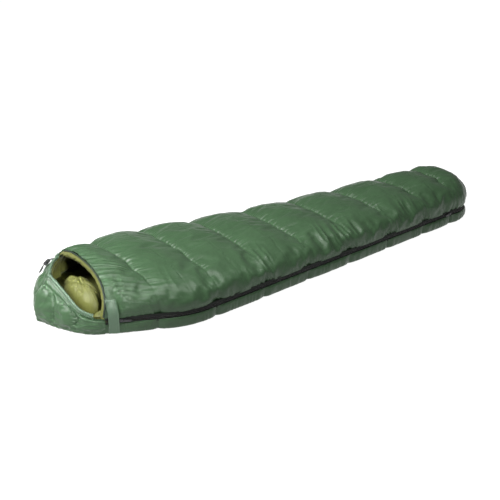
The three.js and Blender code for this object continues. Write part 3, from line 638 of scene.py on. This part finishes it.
def inner_top():
    """The olive lining inside the lid and the far side, quilted at the same seams."""
    grid, _ = arch_grid(420, 170, LAYER)
    out = normals(grid)
    x = grid[..., 0]
    side = running(grid, 1)
    ring = side[:, -1:]
    away = seam_distance(x + 0.006 * noise(grid[..., 1], x, 0.05, 0.5, 41))
    puff = 1 - np.exp(-np.abs(away) / 0.035)
    middle = smooth(side / 0.05) * smooth((ring - side) / 0.05) * smooth((x - NECK_X - 0.02) / 0.05)
    depth = (0.010 * puff - 0.004) * middle
    depth += 0.0028 * hill(away, 0.030) * (ridges(side, x, 0.012, 0.1, 42) - 0.5) * middle
    depth += 0.0040 * middle * (ridges(x, side, 0.030, 0.12, 43) - 0.5)
    depth += 0.0012 * noise(x, side, 0.02, 0.02, 44) * middle
    grid = grid - out * depth[..., None]
    out_to_zip = 0.008 * hill(side, 0.014) * (1 - 0.8 * np.exp(-np.abs(away) / 0.034))
    out_to_side = 0.024 * hill(ring - side, 0.014)
    grid[..., 1] -= (out_to_zip - out_to_side) * at_straight_sides(x)
    piece = cloth_piece("top_cloth_lining", grid, LINING, flip=True)
    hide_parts("top_lining", "side_lining")
    along_fold(piece)


def neck_edge():
    """The lining rolled over the neck's edge, and the dark piping round its outer corner."""
    rows, columns = 380, 11
    angle = np.linspace(0, math.pi, rows)[:, None]
    across = np.linspace(0, 1, columns)[None, :]
    depth = 0.001 + (LAYER + 0.001) * across
    x = np.full((rows, columns), NECK_X)
    roll = arch(x, np.zeros_like(x), np.broadcast_to(angle, x.shape), depth)
    run = running(roll, 0)
    swell = np.sin(math.pi * across) ** 0.7
    pleats = ridges(run, across, 0.011, 0.9, 51) - 0.5
    uneven = 0.009 + 0.005 * pleats + 0.002 * noise(run, across, 0.05, 3.0, 52)
    roll[..., 0] -= 0.0015 + swell * uneven
    band = cloth_piece("neck_band", roll, LINING)
    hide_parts("top_neck_band", "side_neck_band")
    along_fold(band)

    line = roll[:, 0] + np.array([-0.0030, 0, 0.0005])
    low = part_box("top_neck_piping")[0]
    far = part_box("side_neck_piping")[1]
    kept = (line[:, 2] > low.z + 0.002) & (line[:, 1] < far.y)
    piping = tube("neck_piping", line[kept], 0.0034, PIPING, sides=10, ripple=0.0005)
    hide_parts("top_neck_piping", "side_neck_piping")
    along_fold(piping)


# ------------------------------------------------------------------ tubes
def frames_along(path):
    """Unit tangent and two unit normals at each point of a path, without twist."""
    tangent = np.gradient(path, axis=0)
    tangent /= np.linalg.norm(tangent, axis=1, keepdims=True)
    first = np.cross(tangent[0], [0.0, 0.0, 1.0])
    if np.linalg.norm(first) < 1e-6:
        first = np.array([1.0, 0.0, 0.0])
    normal = np.zeros_like(path)
    normal[0] = first / np.linalg.norm(first)
    for k in range(1, len(path)):
        n = normal[k - 1] - tangent[k] * (normal[k - 1] @ tangent[k])
        normal[k] = n / np.linalg.norm(n)
    return tangent, normal, np.cross(tangent, normal)


BRAID_PITCH = 0.0007  # metres of cord for each radian of its plait


def tube(name, path, radius, material, sides=16, ripple=0.0, braid=0.0):
    """A round tube along a path with closed ends; ripple gathers it, braid plaits its surface."""
    path = np.asarray(path, float)
    _, first, second = frames_along(path)
    run = np.concatenate([[0], np.cumsum(np.linalg.norm(np.diff(path, axis=0), axis=1))])[:, None]
    turn = np.linspace(0, 2 * math.pi, sides, endpoint=False)[None, :]
    size = radius * np.ones((len(path), sides))
    if ripple:
        size += ripple * (2 * ridges(run + 0.004 * np.cos(turn), turn, 0.006, 3.0, 61) - 1)
    if braid:
        twist = run / BRAID_PITCH
        size += braid * (np.cos(4 * turn + twist) + np.cos(4 * turn - twist)) - braid
    outward = first[:, None] * np.cos(turn)[..., None] + second[:, None] * np.sin(turn)[..., None]
    points = path[:, None] + size[..., None] * outward
    count = len(path)
    i, j = np.meshgrid(np.arange(count - 1), np.arange(sides), indexing="ij")
    a, b = i * sides + j, i * sides + (j + 1) % sides
    faces = np.stack([a, b, b + sides, a + sides], -1).reshape(-1, 4).tolist()
    faces.append(list(range(sides))[::-1])
    faces.append([(count - 1) * sides + k for k in range(sides)])
    uvs = np.stack(np.broadcast_arrays(run, turn * radius), -1)
    return mesh_object(name, points.reshape(-1, 3), faces, material, uvs.reshape(-1, 2))


# ------------------------------------------------------------------ hood
PANEL_SEAMS = (0.17, 0.34, 0.53, 0.72, 0.88)
CHANNEL_V = 0.86  # the drawcord channel's seam, as a share of the wall's height
LOCK_U = 0.79  # the cord lock's place round the hood
HOOD_CURL = 0.016  # the radius at which the hood's cloth turns in under the bag
HOOD_SWELL = 0.006
HOOD_CREASE = 0.006
FLOOR_GAP = 0.0005


def hood_down_to_floor(u, v):
    """The hood's outer face: v from -1 to 0 is the bottom layer's edge, and 0 to 1 is the wall."""
    grid = hood_point(u, v, 0.0)
    grid[..., 0] += into_neck(u)
    under = np.clip(-v, 0, 1)
    grid[..., 2] = np.where(v < 0, SIDE_RIM * (1 - under) + 0.001, grid[..., 2])
    curl = np.clip((HOOD_CURL - grid[..., 2]) / HOOD_CURL, 0, 1)
    inwards = hood_point(u, np.zeros_like(v), HOOD_CURL) - hood_point(u, np.zeros_like(v), 0.0)
    return grid + inwards * (1 - np.sqrt(1 - 0.98 * curl**2))[..., None]


def hood_folds(u, v, to_seam):
    """Gathers under the rim, upright folds, and puckers beside the panel seams."""
    length = u * HOOD_PATH.run[-1]
    fine = 0.0032 * hill(v - CHANNEL_V, 0.22) * (ridges(length, v, 0.012, 0.6, 72) - 0.5)
    fine += 0.0035 * hill(v - 0.25, 0.55) * (ridges(length + 0.05 * v, v, 0.030, 0.45, 73) - 0.5)
    fine += 0.0030 * np.exp(-to_seam / 0.03) * (ridges(v, length, 0.09, 0.06, 74) - 0.5)
    return fine + 0.0015 * noise(length, v, 0.03, 0.3, 75)


def hood_outer():
    """The hood's green outside, down to the floor, with its panels and the channel under the rim."""
    rows, columns = 150, 52
    u = np.linspace(0, 1, rows)[:, None] * np.ones((1, columns))
    v = np.linspace(-1, 1, columns)[None, :] * np.ones((rows, 1))
    grid = hood_down_to_floor(u, v)
    out = -normals(grid)
    bend = u + 0.03 * noise(v, u, 0.5, 0.3, 71)
    to_seam = np.abs(bend[..., None] - np.array(PANEL_SEAMS)).min(-1)
    panel = np.exp(-to_seam / 0.022) * smooth((CHANNEL_V - v) / 0.1) * smooth((v + 0.4) / 0.4)
    channel = hill(v - CHANNEL_V, 0.04)
    start = grid - out * (0.002 + 0.010 * panel + 0.004 * channel)[..., None]
    pins = (np.abs(v - CHANNEL_V) < 0.021) | ((to_seam < 0.0034) & (v > 0.05) & (v < CHANNEL_V))
    pins[[0, -1]] = True
    pins[:, [0, -1]] = True
    creases = simulated_creases(
        start, out, pins, (1.2, 8.0), HOOD_CREASE, excess=0.05, seed=6, frames=14, flip=True
    )
    under_lock = hill(u - LOCK_U, 0.05) * smooth((v - 0.15) / 0.3)
    swell = HOOD_SWELL * smooth((CHANNEL_V - v) / 0.15) * smooth((v + 0.6) / 0.5) * (1 - panel)
    creased = (swell + creases) * (1 - under_lock) - 0.004 * under_lock
    cloth = start + out * creased[..., None]
    cloth[..., 2] = np.maximum(cloth[..., 2], FLOOR_GAP)
    cloth = refine(cloth)
    fields = refine(np.stack([u, v, to_seam, under_lock], -1))
    u, v, to_seam, under_lock = np.moveaxis(fields, -1, 0)
    free = smooth((1 - v) / 0.08) * smooth((v + 1) / 0.3) * (1 - under_lock)
    cloth -= normals(cloth) * (hood_folds(u, v, to_seam) * free)[..., None]
    cloth[..., 2] = np.maximum(cloth[..., 2], FLOOR_GAP)
    piece = cloth_piece("hood_cloth_outer", cloth, SHELL, flip=True)
    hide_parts("hood_shell", "hood_insulation")
    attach(piece, "base")


def hood_inner():
    """The hood's olive lining, falling in upright folds inside the wall."""
    rows, columns = 260, 60
    u = np.linspace(0, 1, rows)[:, None] * np.ones((1, columns))
    v = np.linspace(0, 1, columns)[None, :] * np.ones((rows, 1))
    grid = hood_point(u, v, HOOD_LAYER)
    grid[..., 0] += into_neck(u)
    out = -normals(grid)
    length = u * HOOD_PATH.run[-1]
    middle = smooth(v / 0.15) * smooth((1 - v) / 0.10) * smooth(np.minimum(u, 1 - u) / 0.05)
    depth = 0.004 + 0.011 * (ridges(length + 0.02 * v, v, 0.028, 0.9, 81) - 0.4)
    depth += 0.004 * (ridges(length, v, 0.012, 0.35, 82) - 0.5)
    depth += 0.002 * noise(length, v, 0.02, 0.15, 83)
    grid -= out * (depth * middle)[..., None]
    piece = cloth_piece("hood_cloth_lining", grid, LINING)
    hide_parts("hood_lining")
    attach(piece, "base")


BINDING_ENDS = (0.05, 0.94)
BINDING_RISE = 0.0083  # from the wall's top edge to the binding's middle
BINDING_RADIUS = 0.0062


def over_rim(u):
    """The binding's middle, along the hood's rim."""
    step = 0.01
    middle = 0.5 * (HOOD_LAYER + 0.001)
    here, after, before = (hood_point(u + k, 1.0, middle) for k in (0, step, -step))
    tangent = after - before
    tangent /= np.linalg.norm(tangent, axis=-1, keepdims=True)
    up = np.array([0, 0, 1.0]) - tangent * tangent[..., 2:]
    return here + up / np.linalg.norm(up, axis=-1, keepdims=True) * BINDING_RISE


def hood_binding():
    """The gathered green binding that holds the drawcord, and the flaps that close the rim below it."""
    u = np.linspace(*BINDING_ENDS, 420)
    path = over_rim(u)
    binding = tube("rim_binding", path, BINDING_RADIUS, BINDING_AND_TAB_PAINTED_LIGHT, sides=14, ripple=0.0011)
    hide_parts("hood_binding")
    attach(binding, "base")
    for name, depth, material, slot in (
        ("rim_flap_outer", 0.001, SHELL, "shell_green"),
        ("rim_flap_inner", HOOD_LAYER - 0.001, LINING, "lining_olive"),
    ):
        wall = hood_point(u, np.ones_like(u), depth)
        side = wall - path
        side /= np.linalg.norm(side, axis=-1, keepdims=True)
        lifted = path + side * 0.0045
        share = np.linspace(0, 1, 6)[None, :, None]
        flap = wall[:, None] * (1 - share) + lifted[:, None] * share
        run = running(flap, 0)
        bow = np.sin(math.pi * share[..., 0])
        gathers = 0.0015 * bow * ridges(run, share[..., 0], 0.009, 3.0, 91)
        flap += normals(flap) * gathers[..., None]
        piece = cloth_piece(name, flap, material, thickness=0.0006)
        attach(piece, "base")


# ------------------------------------------------------------------ drawcord and its lock
CORD_DIAMETER = 0.004
STRAND_GAP = 0.006
LOCK_RADIUS = 0.008
LOCK_HEIGHT_SHARE = 0.72  # a point on the wall under the lock, which sets the lock's tilt
LOCK_DOWN = 0.034
LOCK_OFF = 0.0115
LOOP_STRAIGHT = 0.026  # from the lock's middle, so that the lock can slide
LOOP_HALF_WIDTH = 0.009
BORE_ASIDE = -0.002758  # the eyelets' place along the rim
# one strand's route from the binding's bore to the loop, down the wall and off it, in the lock's frame
STRAND = [
    (-0.04865, -0.01407),
    (-0.0395, -0.0085),
    (-0.029, -0.0024),
    (-0.020, 0.0),
    (-0.008, 0.0),
    (0.008, 0.0),
    (0.023, 0.0),
    (0.032, -0.0016),
    (0.041, -0.0045),
    (0.051, -0.0075),
]
LOOP_END = [(-0.0063, 0.0615, -0.0103), (0.0, 0.064, -0.011), (0.0063, 0.0615, -0.0103)]


def lock_frame():
    """The cord lock's middle, and its axes along the rim, down the wall and off the cloth."""
    rim = hood_point(LOCK_U, 1, 0.0)
    along = hood_point(LOCK_U + 0.02, 1, 0.0) - hood_point(LOCK_U - 0.02, 1, 0.0)
    along /= np.linalg.norm(along)
    down = hood_point(LOCK_U, LOCK_HEIGHT_SHARE, 0.0) - rim
    down -= along * (down @ along)
    down /= np.linalg.norm(down)
    off = np.cross(along, down)
    if off[2] < 0:
        along, off = -along, -off
    return rim + down * LOCK_DOWN + off * LOCK_OFF, along, down, off


def drawcord():
    middle, along, down, off = lock_frame()

    def strand(sign):
        route = []
        for y, z in STRAND:
            aside = BORE_ASIDE * smooth((-LOCK_RADIUS - y) / 0.020)
            spread = smooth((y - LOOP_STRAIGHT) / 0.026)
            apart = STRAND_GAP / 2 + (LOOP_HALF_WIDTH - STRAND_GAP / 2) * spread
            route.append((aside + sign * apart, y, z))
        return route

    route = [*strand(-1), *LOOP_END, *strand(1)[::-1]]
    points = np.array([middle + x * along + y * down + z * off for x, y, z in route])
    path = curve_through(points, 14)
    cord = tube("drawcord", path, CORD_DIAMETER / 2, CORD, sides=20, braid=0.00006)
    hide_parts("drawcord_loop")
    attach(cord, "base")


def curve_through(points, steps):
    """A smooth line through the points, with steps stretches between neighbours."""
    padded = np.concatenate([2 * points[:1] - points[1:2], points, 2 * points[-1:] - points[-2:-1]])
    line = []
    for k in range(1, len(padded) - 2):
        a, b, c, d = padded[k - 1 : k + 3]
        square, cube = 2 * a - 5 * b + 4 * c - d, 3 * b - a - 3 * c + d
        for t in np.arange(steps) / steps:
            line.append(0.5 * (2 * b + (c - a) * t + square * t**2 + cube * t**3))
    line.append(points[-1])
    return np.array(line)


# ------------------------------------------------------------------ bottom layer
def outline(count):
    """The bag's plan, counterclockwise from the middle of the foot's end, evenly spaced."""
    x = np.concatenate([
        FOOT_X + FOOT_RADIUS * np.sin(np.linspace(math.pi / 2, 0, 80)),
        np.linspace(FOOT_X, NECK_X, 500)[1:],
        np.linspace(NECK_X, -HALF_LENGTH, 160)[1:],
    ])
    half = np.stack([x, plan_width(x)], -1)
    half[-1, 1] = 0
    far = np.concatenate([[[HALF_LENGTH, 0]], half])
    loop = np.concatenate([far, far[::-1][1:] * [1, -1]])
    share = evenly(loop, count)
    dense = np.linspace(0, 1, len(loop))
    return np.stack([np.interp(share, dense, loop[:, k]) for k in (0, 1)], -1)


# the bottom layer's edge, from over the zip's lower tape to under the bag: inset and height
EDGE_PROFILE = [
    (0.0052, 0.0490),
    (0.0038, 0.0484),
    (0.0020, 0.0455),
    (0.0004, 0.0400),
    (-0.0006, 0.033),
    (-0.001, 0.025),
    (0.0, 0.0175),
    (0.0015, 0.0120),
    (0.0045, 0.0070),
    (0.0090, 0.0032),
    (0.0150, 0.0012),
    (0.030, 0.0006),
]
ON_THE_SIDE = 8  # how many of its points stand on the side
OUTLINE_LENGTH = 5.0


def bottom_cover():
    """The green underside, and the puffed edge that shows under the zip, pinched at each seam."""
    count = 900
    loop = outline(count)
    tangent = np.roll(loop, -1, 0) - np.roll(loop, 1, 0)
    tangent[[0, -1]] = [0, 1]
    tangent /= np.linalg.norm(tangent, axis=1, keepdims=True)
    inwards = np.stack([-tangent[:, 1], tangent[:, 0]], -1)
    run = np.linspace(0, OUTLINE_LENGTH, count)
    away = np.abs(seam_distance(loop[:, 0] + 0.012))
    body = smooth((loop[:, 0] - NECK_X) / 0.04)
    pinch = np.exp(-away / 0.010) * body
    columns = []
    for k, (inset, z) in enumerate(EDGE_PROFILE):
        belly = math.sin(math.pi * k / (len(EDGE_PROFILE) - 1))
        wave = ridges(run, np.full(count, k * 0.1), 0.016, 0.6, 101) - 0.5
        slow = noise(run, np.full(count, k * 0.05), 0.09, 1.0, 102)
        inward = inset + belly * (0.012 * pinch - 0.0045 * wave * body - 0.0035 * slow * body)
        inward += (1 - body) * 0.006
        uneven = 0.0028 * noise(run, np.full(count, 0.0), 0.05, 1.0, 103)
        height = z + belly * uneven * (k < ON_THE_SIDE)
        height += 0.006 * pinch * math.sin(math.pi * min(1, max(0, (k - 5) / 6)))
        columns.append(np.concatenate([loop + inwards * inward[:, None], height[:, None]], 1))
    rim = columns[-1]
    spine = np.stack([np.clip(rim[:, 0], -0.98, 0.98), np.zeros(count), np.full(count, 0.0006)], -1)
    columns += [rim * (1 - t) + spine * t for t in (0.25, 0.5, 0.75, 1.0)]
    grid = np.stack(columns, 1)
    grid[..., 2] = np.maximum(grid[..., 2], 0.0004)
    piece = cloth_piece("bottom_cloth_cover", grid, SHELL, flip=True)
    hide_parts("bottom_shell", "bottom_insulation")
    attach(piece, "base")


def bottom_inner():
    """The olive lining under the sleeper, quilted, and crumpled where the zip starts."""
    rows, columns = 480, 130
    ends = -HALF_LENGTH + 0.026, HALF_LENGTH - 0.010
    x = np.linspace(*ends, rows)[:, None] * np.ones((1, columns))
    v = np.linspace(-1, 1, columns)[None, :] * np.ones((rows, 1))
    y = v * np.maximum(plan_width(x) - 0.0100 - 0.014 * smooth((NECK_X - x) / 0.02), 0.002)
    away = seam_distance(x + 0.006 * noise(y, x, 0.05, 0.5, 111))
    to_end = np.minimum(HALF_LENGTH - x, x + HALF_LENGTH)
    edge = np.minimum((1 - np.abs(v)) * plan_width(x), to_end) / 0.05
    middle = smooth(edge)
    z = PAD_TOP + 0.0006 + middle * (0.011 * (1 - np.exp(-np.abs(away) / 0.035)) - 0.002)
    z += middle * 0.0030 * hill(away, 0.035) * (ridges(y, x, 0.012, 0.1, 112) - 0.5)
    folds = 0.0040 * (ridges(x, y, 0.035, 0.12, 113) - 0.5)
    z += middle * (folds + 0.0012 * noise(x, y, 0.02, 0.02, 114))
    crumple = hill(x + 0.905, 0.050) * hill(y + 0.205, 0.040)
    z += crumple * smooth(edge * 2) * (0.020 + 0.022 * ridges(x + 0.5 * y, y, 0.022, 0.03, 115))
    piece = cloth_piece("bottom_cloth_lining", np.stack([x, y, z], -1), LINING)
    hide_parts("bottom_lining")
    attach(piece, "base")


def collar():
    """The puffed collar behind the sleeper's neck: gathered segments about a middle button."""
    rows, columns = 70, 240
    low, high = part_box("draft_collar")
    middle = [(low.x + high.x) / 2, (low.y + high.y) / 2, low.z]
    size = [
        (high.x - low.x) / 2 - 0.004,
        (high.y - low.y) / 2 - 0.004,
        high.z - low.z - 0.006,
    ]
    rise = np.linspace(0, math.pi / 2, rows)[:, None] * np.ones((1, columns))
    turn = np.linspace(0, 2 * math.pi, columns)[None, :] * np.ones((rows, 1))
    wander = turn + 0.22 * np.sin(2.6 * rise + 1.0)
    wander += 0.25 * np.sin(turn) + 0.10 * np.sin(2 * turn)
    lobe = np.abs(np.sin(wander * 2.5)) ** 0.5
    reach = np.cos(rise) ** 0.75
    up = np.sin(rise) ** 0.85
    puff = 0.88 + 0.12 * lobe * np.sin(np.clip(rise * 1.25, 0, math.pi / 2))
    crease = 0.07 * (ridges(reach * 0.2, turn, 0.05, 0.16, 121) - 0.5) * hill(reach - 0.35, 0.4)
    crease += 0.03 * noise(reach, turn, 0.25, 0.35, 122)
    fade = smooth((2 * math.pi - turn) / 0.3) * smooth(turn / 0.3)
    puff += crease * fade * smooth((math.pi / 2 - rise) / 0.3)
    button = 1 - 0.10 * hill(reach, 0.13)
    grid = np.stack([
        middle[0] + size[0] * reach * puff * np.cos(turn),
        middle[1] + size[1] * reach * puff * np.sin(turn),
        middle[2] + size[2] * up * (0.6 + 0.4 * puff) * button,
    ], -1)
    piece = cloth_piece("collar_cloth", grid, LINING, flip=True)
    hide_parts("draft_collar")
    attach(piece, "base")


def draft_tube():
    """The stuffed tube behind the zip."""
    low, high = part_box("draft_tube")
    radius = (high.z - low.z) / 2
    x = np.linspace(low.x + 0.002, high.x - 0.002, 520)
    away = np.abs(seam_distance(x))
    path = np.stack([x, -(body_width(x) - LAYER - 0.027), np.full_like(x, (low.z + high.z) / 2)], -1)
    piece = tube("draft_tube_cloth", path, radius - 0.001, LINING, sides=22, ripple=0.0012)
    points = np.array([vertex.co for vertex in piece.data.vertices]).reshape(len(x), -1, 3)
    centre = path[:, None]
    waist = 1 - 0.22 * np.exp(-away / 0.012) - 0.10 * (np.abs(np.sin(x / 0.041)) ** 8)
    points = centre + (points - centre) * waist[:, None, None]
    piece.data.vertices.foreach_set("co", points.ravel())
    piece.data.update()
    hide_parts("draft_tube")
    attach(piece, "top_layer")


# ------------------------------------------------------------------ closure tab
def closure_tab():
    """The fabric tab that folds over the zip's end, with a stitched edge."""
    rows, columns = 60, 20
    low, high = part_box("closure_tab")
    z = np.linspace(low.z + 0.0005, high.z - 0.0005, rows)[:, None] * np.ones((1, columns))
    t = np.linspace(0, 1, columns)[None, :] * np.ones((rows, 1))
    x = low.x + 0.0003 + (high.x - low.x - 0.0006) * t
    rise = np.clip((z - LID_RIM) / (CROWN_NECK - LID_RIM), 0, None)
    flank = (1 - rise ** (2 / SECTION_POWER)) ** (SECTION_POWER / 2)
    shoulder = NECK_WIDTH + SHOULDER_SLOPE * (x - NECK_X)
    to_edge = np.minimum(np.minimum(t, 1 - t) * 0.038, np.minimum(z - low.z, high.z - z))
    stitched = hill(to_edge - 0.0045, 0.0014)
    soft = 0.0010 * noise(x, z, 0.012, 0.03, 131)
    off = 0.0062 + soft - 0.0009 * stitched + 0.0012 * hill(to_edge - 0.0015, 0.002)
    grid = np.stack([x, -shoulder * flank - off, z], -1)
    # painted light: the tab is the shell's own green cloth, painted in the paler binding green for the
    # light it catches
    piece = cloth_piece("tab_cloth", grid, BINDING_AND_TAB_PAINTED_LIGHT, flip=True, thickness=0.0020)
    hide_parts("closure_tab")
    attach(piece, "closure_tab")


# ------------------------------------------------------------------ zip
def zip_line(inset):
    """The zip in plan: down the near side, round the foot's corner and along the foot's end."""
    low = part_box("zip_teeth_upper")[0]
    x = np.linspace(low.x, FOOT_X, 700)
    straight = np.stack([x, -(body_width(x) - inset)], -1)
    turn = np.linspace(0, math.pi / 2, 90)[1:]
    corner = np.stack([
        FOOT_X + (FOOT_RADIUS - inset) * np.sin(turn),
        -(body_width(FOOT_X) - FOOT_RADIUS + (FOOT_RADIUS - inset) * np.cos(turn)),
    ], -1)
    return np.concatenate([straight, corner, [[HALF_LENGTH - inset, ZIP_END_Y]]])


TOOTH_PITCH = 0.0030
TOOTH_HALF_OUT = 0.00145
TOOTH_HALF_ALONG = 0.00095
# a tooth's outline, square with its corners cut, in half widths
TOOTH_CUT = 0.6
TOOTH_CUT_UP = 0.55


def teeth(name, node, body, offset):
    """A row of nylon teeth, each a rounded block across the tape, standing in its CAD strip's place."""
    low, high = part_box(node)
    line = zip_line(ZIP_INSET)
    total = np.linalg.norm(np.diff(line, axis=0), axis=1).sum()
    count = int(total / TOOTH_PITCH)
    share = evenly(line, count)
    dense = np.linspace(0, 1, len(line))
    points = np.stack([np.interp(share, dense, line[:, k]) for k in (0, 1)], -1)
    tangent = np.gradient(points, axis=0)
    tangent /= np.linalg.norm(tangent, axis=1, keepdims=True)
    outward = np.stack([tangent[:, 1], -tangent[:, 0]], -1)
    points = points + tangent * TOOTH_PITCH * offset
    half = [(-1, -TOOTH_CUT_UP), (-TOOTH_CUT, -1), (TOOTH_CUT, -1), (1, -TOOTH_CUT_UP)]
    ring = half + [(-a, -b) for a, b in half]
    half_up = (high.z - low.z) / 2
    middle = (high.z + low.z) / 2
    vertices, faces = [], []
    for p, t, o in zip(points, tangent, outward):
        base = len(vertices)
        for side in (-1, 1):
            for a, b in ring:
                flat = p + t * side * TOOTH_HALF_ALONG + o * a * TOOTH_HALF_OUT
                vertices.append((flat[0], flat[1], middle + b * half_up))
        faces.append([base + k for k in range(8)])
        faces.append([base + 15 - k for k in range(8)])
        for k in range(8):
            after = (k + 1) % 8
            faces.append([base + k, base + 8 + k, base + 8 + after, base + after])
    piece = mesh_object(name, vertices, faces, TEETH)
    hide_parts(node)
    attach(piece, body)


def hardware():
    """CAD pieces that keep their shape, with their finished materials."""
    finishes = {
        TAPE: ["zip_tape_upper", "zip_tape_lower"],
        METAL: [
            "slider_head",
            "slider_foot",
            "pull_head",
            "pull_foot",
            "zip_stop_upper_head",
            "zip_stop_upper_foot",
            "zip_stop_lower_head",
            "zip_stop_lower_foot",
        ],
        HOOKS: ["loop_patch", "hook_patch"],
        WEBBING: ["hang_loop_near", "hang_loop_far"],
        HIDDEN_CORD: ["drawcord_near", "drawcord_far"],
        PLASTIC: ["cord_lock_body", "cord_lock_stem"],
        STEEL: ["cord_lock_spring"],
    }
    for material, nodes in finishes.items():
        for node in nodes:
            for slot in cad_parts[node].material_slots:
                slot.material = material


# ------------------------------------------------------------------ camera, lights and floor
def aim(piece, target):
    piece.rotation_euler = (Vector(target) - piece.location).to_track_quat("-Z", "Y").to_euler()


CAMERA_AZIMUTH = math.radians(-34.4)
CAMERA_ELEVATION = math.radians(24.2)
CAMERA_DISTANCE = 4.303
CAMERA_TARGET = Vector((-0.0718, 0.0458, 0.029))


def camera():
    data = bpy.data.cameras.new("camera")
    data.lens = 70
    data.sensor_width = 36
    piece = bpy.data.objects.new("camera", data)
    level = math.cos(CAMERA_ELEVATION)
    away = (
        math.sin(CAMERA_AZIMUTH) * level,
        -math.cos(CAMERA_AZIMUTH) * level,
        math.sin(CAMERA_ELEVATION),
    )
    piece.location = CAMERA_TARGET + CAMERA_DISTANCE * Vector(away)
    aim(piece, CAMERA_TARGET)
    bpy.context.scene.collection.objects.link(piece)
    bpy.context.scene.camera = piece


def area_light(name, place, target, size, power, spread=180):
    data = bpy.data.lights.new(name, "AREA")
    data.shape = "RECTANGLE"
    data.size, data.size_y = size
    data.energy = power
    data.spread = math.radians(spread)
    piece = bpy.data.objects.new(name, data)
    piece.location = place
    aim(piece, target)
    bpy.context.scene.collection.objects.link(piece)


WORLD_STRENGTH = 0.24
FLOOR_HALF = 30
FLOOR_GREY = 0.15
FLOOR_GLOW = 0.98
FLOOR_DROP = 0.0005  # below the lowest point of the bag


def lights():
    """White surroundings, a key light over the head, a soft one above, a narrow one into the hood."""
    bpy.context.scene.view_settings.view_transform = "Standard"
    world = bpy.data.worlds.new("studio")
    world.use_nodes = True
    world.node_tree.nodes["Background"].inputs["Color"].default_value = (1, 1, 1, 1)
    world.node_tree.nodes["Background"].inputs["Strength"].default_value = WORLD_STRENGTH
    bpy.context.scene.world = world
    area_light("key", (-2.5, 0.3, 2.3), (-0.1, 0, 0.1), (1.4, 1.8), 250)
    area_light("top", (-0.3, -0.5, 2.4), (-0.4, 0, 0.1), (1.4, 1.4), 55)
    area_light("opening", (-1.3, -2.6, 1.5), (-0.99, 0.06, 0.12), (0.25, 0.25), 1.1, spread=14)


def white_floor():
    """A floor that is white enough by itself to show no shadow."""
    half = FLOOR_HALF
    corners = [(-half, -half, 0), (half, -half, 0), (half, half, 0), (-half, half, 0)]
    floor = mesh_object("floor", corners, [(0, 1, 2, 3)])
    material = bpy.data.materials.new("floor_white")
    material.use_nodes = True
    shader = material.node_tree.nodes["Principled BSDF"]
    node_input(shader, "Base Color", (FLOOR_GREY, FLOOR_GREY, FLOOR_GREY, 1))
    node_input(shader, "Roughness", 0.9)
    node_input(shader, "Emission Color", (1, 1, 1, 1))
    node_input(shader, "Emission Strength", FLOOR_GLOW)
    floor.data.materials.append(material)
    floor.location.z = -FLOOR_DROP


camera()
drawcord()
outer_top()
inner_top()
neck_edge()
hood_outer()
hood_inner()
hood_binding()
bottom_cover()
bottom_inner()
collar()
draft_tube()
closure_tab()
teeth("zip_coil_upper", "zip_teeth_upper", "top_layer", 0.0)
teeth("zip_coil_lower", "zip_teeth_lower", "base", 0.5)
hardware()
lights()
white_floor()
